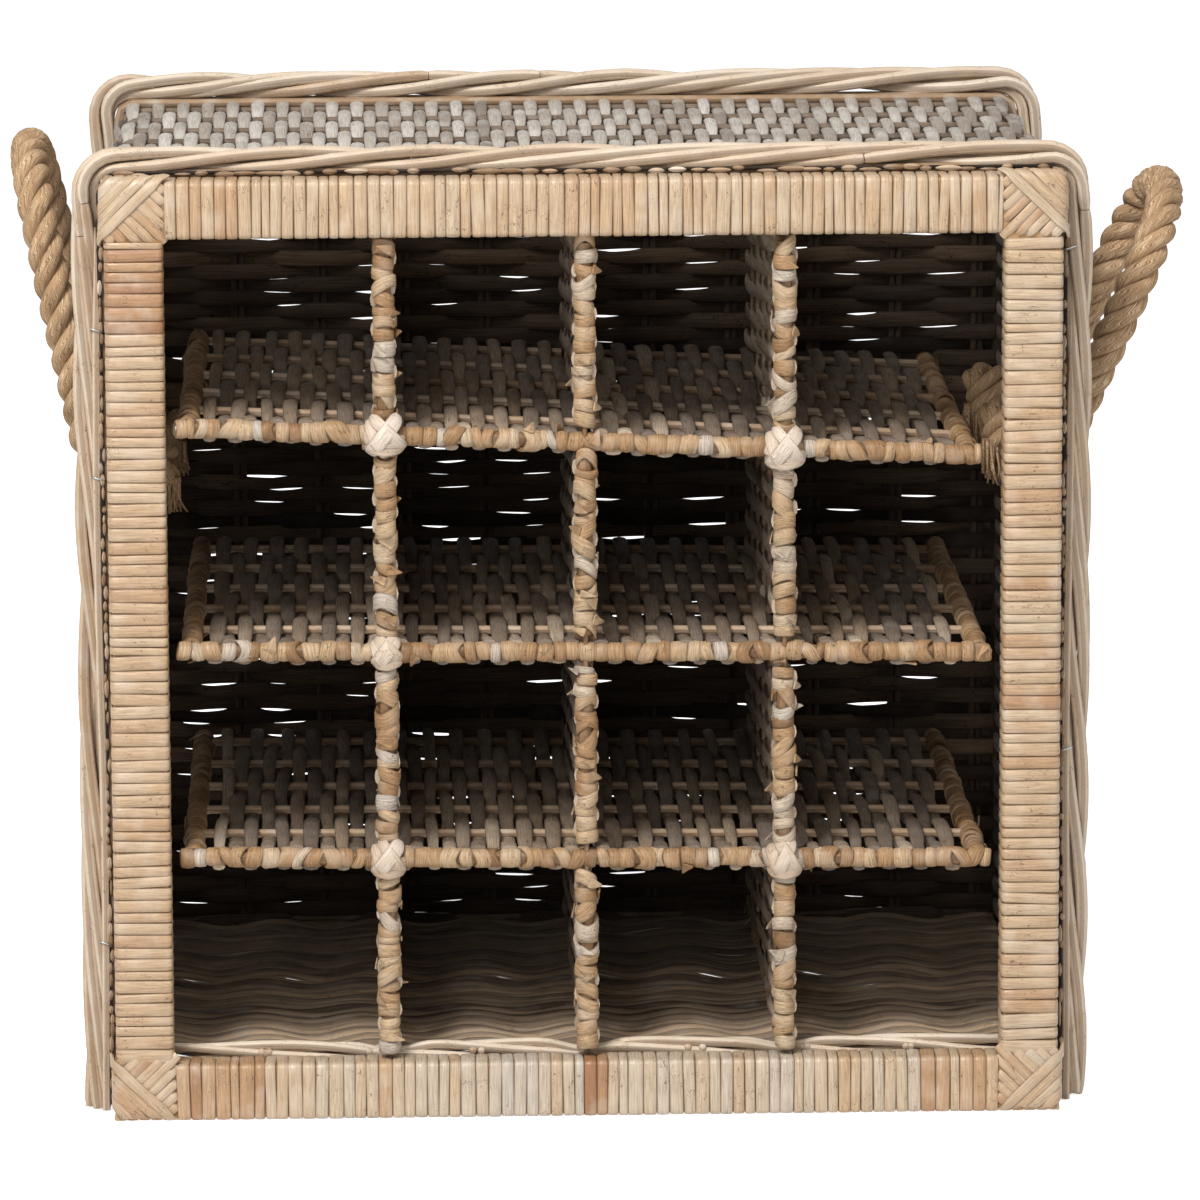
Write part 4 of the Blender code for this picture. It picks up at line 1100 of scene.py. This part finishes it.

# %% [markdown]
# An upright is the same mat stood on edge. Its peel is drawn paler, as painted light on its sides, and its front edge
# is bound in four stretches, parted by the three shelves, over a thin brown rod that shows where the binding stops.

# %% Weave the three uprights
UPRIGHT_PITCH = 7.0 * MM
LEFT = (-1, 0, 0)
for number, x in enumerate(upright_x, 1):
    node = "upright_%d" % number
    low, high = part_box(node)
    mat, rods, edges = bmesh.new(), bmesh.new(), bmesh.new()
    crossings = [height + slope * x for height, slope in reversed(shelves)]
    for column in range(round((high.z - low.z - 8 * MM) / UPRIGHT_PITCH)):
        z = low.z + 4 * MM + UPRIGHT_PITCH * (column + 0.5)
        near = min(abs(z - crossing) for crossing in crossings)
        start = MAT_FRONT if near > roll_radius + 3.5 * MM else halving_y + 1 * MM
        # The high tone is painted light: it makes an upright's sides paler, as if lit.
        mat_strip(mat, lambda depth, rise, shift: (x - rise, depth, z + shift), LEFT, column, start,
                  7.4 * MM * vary(1, 0.08, 0.8, 1.15), vary(0.93, 0.12))
    for y in rows_at:
        ends = [low.z + 2 * MM, *(beside_each(crossings, roll_radius + 1 * MM) if y < halving_y else []),
                high.z - 2 * MM]
        mat_rods(rods, ends, LEFT, lambda z, wander: (x, y + wander, z))
    core = [(x, roll_y - 2.5 * MM, z) for z in np.linspace(low.z + 3 * MM, high.z - 3 * MM, 30)]
    lay_rod(edges, core, (0, -1, 0), 2.6 * MM, 1.0)
    teeth = [low.z, *beside_each(crossings, roll_radius + 1.6 * MM), high.z]
    for bottom, top in zip(teeth[::2], teeth[1::2]):
        bound_edge(edges, (x, roll_y, bottom), (x, roll_y, top), 6.0 * MM, (0, -1, 0), 0.5, 6.4 * MM, 0.45, 17,
                   0.16, 2.4)
    for z in (low.z + 4 * MM, high.z - 4 * MM):
        bound_edge(edges, (x, roll_y + roll_radius, z), (x, mat_back - 1 * MM, z), 3.9 * MM, (1, 0, 0), 0.5,
                   6.5 * MM, 0.1)
    settle_mat(node, mat, rods, edges)

# %% [markdown]
# ## Lashings
#
# Five crossings are tied with split peel: bands laid over the crossing at several angles, each one bent
# round a ball. The two on the top shelf are new, pale and thick, and the others are smaller and browner.

# %% Tie the five crossings
BAND_SPREAD = 88
BAND_POINTS = 13


def lash_band(shape, centre, angle, radius, shift, width, tone):
    """A band over a crossing, at an angle in the front plane, curved round a ball of that radius."""
    along = Vector((math.cos(math.radians(angle)), 0, math.sin(math.radians(angle))))
    beside = Vector((-along.z, 0, along.x))
    points, ups = [], []
    for turn in np.radians(np.linspace(-BAND_SPREAD, BAND_SPREAD, BAND_POINTS)):
        up = along * math.sin(turn) - Vector((0, 1, 0)) * math.cos(turn)
        points.append(Vector(centre) + up * radius + beside * shift * (1 - 0.25 * abs(math.sin(turn))))
        ups.append(up)
    widths = width * np.interp(np.linspace(-1, 1, BAND_POINTS), (-1, -0.6, 0.6, 1), (0.6, 1, 1, 0.6))
    lay_strip(shape, points, ups, widths, 1.5 * MM, tone, boxy=0.75)


# Each band: its angle in degrees, its share of the ball's radius, its shift and width in mm, and how much browner.
LASH_BANDS = ((2, 0.80, -7.0, 7.2, 0.45), (118, 0.84, 5.5, 6.0, 0.35), (-14, 0.88, -2.0, 6.5, 0.3),
              (128, 0.93, -3.5, 6.2, 0.2), (52, 0.98, 1.0, 7.6, 0.1))
LASHINGS = {"shelf_1_upright_1": 0.04, "shelf_1_upright_3": 0.06, "shelf_2_upright_1": 0.2,
            "shelf_3_upright_1": 0.35, "shelf_3_upright_3": 0.3}
LASH_RADIUS = 12.8 * MM
for crossing, tone in LASHINGS.items():
    low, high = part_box("lashing_" + crossing)
    centre = ((low.x + high.x) / 2, roll_y, (low.z + high.z) / 2)
    radius = roll_y - low.y - 1.6 * MM
    size = radius / LASH_RADIUS
    shape = bmesh.new()
    for angle, reach, shift, width, darker in LASH_BANDS:
        lash_band(shape, centre, angle + random.gauss(0, 7), radius * reach, shift * size * MM,
                  width * MM * vary(1, 0.08, 0.8, 1.2), vary(tone + darker, 0.08))
    settle("tie_" + crossing, shape, LASHING_PEEL, "divider_insert", "binding_cane", "lashing_" + crossing)

# %% [markdown]
# ## Rope handles
#
# Each handle is a loop of three-strand rope, 20 mm thick, laid from coarse golden fibre. Each strand is
# twisted one way and the rope the other, so its yarns come out nearly in line with the rope. Here the
# three strands are laid on helixes round the loop's middle line, with ten yarns round each strand.

# %% Rope finish
YARN_ANGLE = math.radians(38)
# Coarse hard fibre: golden tan, matt and hairy, with straw-coloured hairs and brown shadow in the lay.
ROPE_FIBRE, tree, shader = new_finish("hard_fibre_rope")
strip = add_node(tree, "ShaderNodeUVMap", {}, "UV", uv_map="StripUV")
turned = add_node(tree, "ShaderNodeMapping", {"Vector": strip, "Rotation": (0, 0, -YARN_ANGLE)})
stretched = add_node(tree, "ShaderNodeMapping", {"Vector": turned, "Scale": (1 / (0.42 * MM), 1 / (14 * MM), 1)})
hairs = add_node(tree, "ShaderNodeTexNoise", {"Vector": stretched, "Scale": 1, "Detail": 4, "Roughness": 0.65}, "Fac")
colour = add_node(tree, "ShaderNodeValToRGB", {"Fac": hairs}, "Color",
                  [(0.34, "#553C27"), (0.66, "#E2CDAE"), (0.45, "#9C7B59"), (0.54, "#BC9A74")])
place = add_node(tree, "ShaderNodeTexCoord", {}, "Object")
patches = add_node(tree, "ShaderNodeTexNoise", {"Vector": place, "Scale": 1 / (16 * MM), "Detail": 2}, "Fac")
shade = add_node(tree, "ShaderNodeMapRange", {0: patches, 1: 0.4, 2: 0.65, 3: 0.0, 4: 0.4})
colour = add_node(tree, "ShaderNodeMix", {0: shade, 6: colour, 7: linear("#8F6F4F")}, 2, data_type="RGBA")
relief = add_node(tree, "ShaderNodeBump", {"Height": hairs, "Strength": 0.8, "Distance": 0.5 * MM})
set_inputs(shader, {"Base Color": colour, "Roughness": 0.8, "Normal": relief})
print("hard_fibre_rope")

# %% Lay the strands of a rope
LAY_PITCH = 40 * MM
YARNS = 10


def rope_strands(shape, route, binormal, radius, spacing, tone=0.5, round_ends=False):
    """Three strands round a route. binormal is a direction that the route never follows."""
    route = np.asarray(route)
    steps = np.linalg.norm(route[1:] - route[:-1], axis=1)
    measure = np.concatenate(([0], np.cumsum(steps)))
    count = round(measure[-1] / spacing)
    at = np.linspace(0, measure[-1], count)
    middle = np.stack([np.interp(at, measure, route[:, i]) for i in range(3)], 1)
    along = unit(np.gradient(middle, axis=0))
    beside = unit(np.cross(along, np.broadcast_to(binormal, middle.shape)))
    over = np.cross(beside, along)
    strand_radius = radius / (1 + 2 / math.sqrt(3))
    offset = radius - strand_radius
    to_end = np.minimum(at, measure[-1] - at) / radius
    size = np.sqrt(np.clip(1 - np.clip(1 - to_end, 0, 1) ** 2, 0.03, 1)) if round_ends else np.ones(count)
    for strand in range(3):
        turn = -2 * math.pi * (at / LAY_PITCH + strand / 3)
        out = beside * np.cos(turn)[:, None] + over * np.sin(turn)[:, None]
        lay_strip(shape, middle + out * (offset * size)[:, None], out, 2.08 * strand_radius * size,
                  2.08 * strand_radius * size, tone + 0.07 * strand, sides=30, boxy=1.0, lobes=YARNS,
                  lobe_turn=math.tan(YARN_ANGLE) / strand_radius)


# %% [markdown]
# The loop's route follows the part's own source: spans and rises are given as shares at a few points, and
# a smooth curve runs through them. The drawn rope is a little thinner than the model's. Its ends are
# rounded off just past the hinge, which stands in for the rope bending there.

# %% The route of a handle
DRAWN_ROPE_RADIUS = 9.5 * MM
HANDLE_SPAN = 0.110
LOOP_SPAN_SHARES = (1.0, 1.03, 1.05, 0.96, 0.66, 0.0)
LOOP_HEIGHT_SHARES = (0.0, 0.28, 0.55, 0.78, 0.94, 1.0)


def smooth_places(shares, places):
    """Evenly spaced values on a smooth curve through the given shares."""
    last = len(shares) - 1
    padded = [2 * shares[0] - shares[1], *shares, 2 * shares[last] - shares[last - 1]]
    values = []
    for step in range(places):
        at = last * step / (places - 1)
        first = min(int(at), last - 1)
        part = at - first
        before, one, two, after = padded[first:first + 4]
        values.append((2 * one + (two - before) * part + (2 * before - 5 * one + 4 * two - after) * part ** 2
                       + (3 * one - before - 3 * two + after) * part ** 3) / 2)
    return values


def handle_route(side, lean_degrees, loop_height, hinge, places):
    lean = math.radians(lean_degrees)
    spans = smooth_places(LOOP_SPAN_SHARES + tuple(-share for share in reversed(LOOP_SPAN_SHARES[:-1])), places)
    rises = smooth_places(LOOP_HEIGHT_SHARES + tuple(reversed(LOOP_HEIGHT_SHARES[:-1])), places)
    return [(hinge[0] + side * rise * loop_height * math.sin(lean), hinge[1] - span * HANDLE_SPAN / 2,
             hinge[2] + rise * loop_height * math.cos(lean)) for span, rise in zip(spans, rises)]


# %% Both handles
HINGE = (0.2475, 0.150, 0.328)
ROPE_STEP = 1.25 * MM
HANDLES = ((-1, "left", 11.6, 0.144), (1, "right", 24.0, 0.128))
for side, label, lean, loop_height in HANDLES:
    hinge = (side * HINGE[0], HINGE[1], HINGE[2])
    fine = handle_route(side, lean, loop_height, hinge, 121)
    flat = Vector((math.cos(math.radians(lean)), 0, -side * math.sin(math.radians(lean))))
    first, last = (Vector(fine[i]) + (Vector(fine[i]) - Vector(fine[j])).normalized() * DRAWN_ROPE_RADIUS
                   for i, j in ((0, 1), (-1, -2)))
    shape = bmesh.new()
    rope_strands(shape, [first, *fine, last], flat, DRAWN_ROPE_RADIUS, ROPE_STEP, round_ends=True)
    handle = settle(label + "_handle_rope", shape, ROPE_FIBRE, label + "_handle", "twisted_rope",
                    label + "_rope_handle")

# %% [markdown]
# ## Knots inside the walls
#
# Each rope end comes through a hole and is stopped by an overhand knot. The route of such a knot is a
# trefoil, squeezed into the knot's own size, and the same three strands follow it at a smaller scale.
# A straight stub carries the rope on through the wall, out to the loop's hinge. Below the knot the end
# is frayed: loose yarns fan out and hang down, each one a thin rod with its own bend and length.

# %% Four stopper knots
KNOT_ROPE = 7.6 * MM
STUB_ROPE = 8.6 * MM
FRAYED_YARNS = 34
# How far below the middle of its node a side's knots lie, in mm, and their share of its height.
KNOT_HANG = {"left": (5, 0.62), "right": (2, 0.85)}


def knot_route(centre, half, side):
    """A trefoil of a given half size, open at the bottom."""
    return [(centre.x + side * half.x * math.sin(3 * t),
             centre.y + half.y * (math.sin(t) + 2 * math.sin(2 * t)) / 2.6,
             centre.z + half.z * (math.cos(t) - 2 * math.cos(2 * t)) / 2.6)
            for t in np.linspace(0.35, 2 * math.pi - 0.35, 110)]


def fray(shape, inner, side, low, top):
    """The loose yarns below a knot."""
    for yarn in range(FRAYED_YARNS):
        at = Vector((inner + side * random.uniform(6, 17) * MM, low.y + random.uniform(2, 10) * MM, top))
        bend = Vector((random.gauss(0, 2.4), random.gauss(-0.5, 1.2), 0)) * MM
        points = [at + bend * share ** 2 + Vector((0, 0, (low.z - top) * share * 1.02))
                  for share in np.linspace(0, random.uniform(0.7, 1), 8)]
        lay_strip(shape, points, (0, -1, 0), np.linspace(1.9, 1.0, 8) * MM, 1.6 * MM, random.random(), sides=6,
                  boxy=1.0)


for side, label in ((-1, "left"), (1, "right")):
    for place in ("front", "rear"):
        node = "%s_%s_knot" % (label, place)
        low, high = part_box(node)
        wall, inner = (low.x, high.x) if side < 0 else (high.x, low.x)
        reach = abs(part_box(label + "_side_panel")[0 if side > 0 else 1].x - inner)
        hang, tall = KNOT_HANG[label]
        middle = (low + high) / 2
        centre = Vector((inner + side * (reach / 2 + 3 * MM), middle.y, middle.z - hang * MM))
        half = Vector(((reach / 2 - KNOT_ROPE) * 0.7, (high.y - low.y) / 2 - KNOT_ROPE,
                       ((high.z - low.z) / 2 - KNOT_ROPE) * tall))
        shape = bmesh.new()
        rope_strands(shape, knot_route(centre, half, side), (1, 0.2, 0.1), KNOT_ROPE, 1.6 * MM)
        stub = [(x, middle.y, HINGE[2]) for x in np.linspace(side * HINGE[0], wall + (inner - wall) * 0.6, 30)]
        rope_strands(shape, stub, UP, STUB_ROPE, ROPE_STEP, round_ends=True)
        fray(shape, inner, side, low, centre.z)
        settle("%s_%s_stopper_knot" % (label, place), shape, ROPE_FIBRE, "basket", "twisted_rope", node)

# %% [markdown]
# ## Wood and steel of the model
#
# The slats inside the wrapping and the thin rods inside the shelf edges keep the model's own shape, and
# only need a finish. The slats are plain sawn softwood, pale brown with straight grain lines 2 mm apart.
# The rods get the drawn wire of the staples.

# %% Finish the slats and the edge rods
SLAT_WOOD, tree, shader = new_finish("sawn_softwood_slat")
place = add_node(tree, "ShaderNodeTexCoord", {}, "Object")
sawn = add_node(tree, "ShaderNodeMapping", {"Vector": place, "Scale": [1 / (size * MM) for size in (30, 2, 30)]})
grain = add_node(tree, "ShaderNodeTexNoise", {"Vector": sawn, "Scale": 1, "Detail": 3}, "Fac")
wood = add_node(tree, "ShaderNodeValToRGB", {"Fac": grain}, "Color", [(0.35, "#8D6A45"), (0.65, "#C09A6C")])
set_inputs(shader, {"Base Color": wood, "Roughness": 0.75})
finished = 0
for name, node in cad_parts.items():
    finish = SLAT_WOOD if name.startswith("front_frame_slat") else STEEL_WIRE if name.endswith("edge_rod") else None
    if finish:
        node.data.materials[0] = finish
        finished += 1
print("finished nodes of the model:", finished)

# %% [markdown]
# ## Stage and light
#
# The floor stays a real surface, so it takes the basket's soft shadow, and it glows just enough towards
# the camera to read as white paper. Four large lamps stand round the basket as in a product studio.

# %% Floor and world
def seen_rays(tree):
    """1 for rays from the camera, mirrored by a shiny face or let through glass, and 0 for the rest."""
    rays = add_node(tree, "ShaderNodeLightPath", {}).node.outputs
    seen = rays["Is Camera Ray"]
    for other in ("Is Glossy Ray", "Is Transmission Ray"):
        seen = add_node(tree, "ShaderNodeMath", {0: seen, 1: rays[other]}, operation="MAXIMUM")
    return seen


floor_shape = bmesh.new()
bmesh.ops.create_grid(floor_shape, x_segments=1, y_segments=1, size=30)
floor_mesh = bpy.data.meshes.new("floor")
floor_shape.to_mesh(floor_mesh)
floor_shape.free()
put("floor", floor_mesh)
paper, tree, shader = new_finish("white_paper_sweep")
set_inputs(shader, {"Base Color": linear("#F4F4F4"), "Roughness": 1.0})
glow = add_node(tree, "ShaderNodeMath", {0: seen_rays(tree), 1: 0.85}, operation="MULTIPLY")
lit = add_node(tree, "ShaderNodeEmission", {"Color": linear("#FFFFFF"), "Strength": glow})
both = add_node(tree, "ShaderNodeAddShader", {0: shader.outputs[0], 1: lit})
set_inputs(tree.nodes["Material Output"], {"Surface": both})
floor_mesh.materials.append(paper)

world = bpy.data.worlds.new("studio")
bpy.context.scene.world = world
world.use_nodes = True
tree = world.node_tree
level = add_node(tree, "ShaderNodeMapRange", {0: seen_rays(tree), 3: 0.13, 4: 1.0})
set_inputs(tree.nodes["Background"], {"Strength": level, "Color": linear("#FFFFFF")})
print("white floor and world")

# %% [markdown]
# The lamps are squares of light. The strong one at the upper left throws the soft shadows to the right,
# and the other three lift what it leaves dark.

# %% Lamps
BASKET_MIDDLE = Vector((0, 0.1, 0.24))
LAMPS = (("left", (-1.2, -2.0, 2.85), 0.9, 118), ("right", (1.9, -1.7, 2.1), 1.2, 20),
         ("top", (0.2, -0.9, 2.4), 1.4, 9), ("front", (-0.9, -3.4, 1.5), 1.4, 20))
for name, place, size, watts in LAMPS:
    data = bpy.data.lights.new("softbox_" + name, "AREA")
    data.size = size
    data.energy = watts
    lamp = put("softbox_" + name, data)
    lamp.location = place
    lamp.rotation_euler = (BASKET_MIDDLE - Vector(place)).to_track_quat("-Z", "Y").to_euler()
print("lamps:", len(LAMPS))
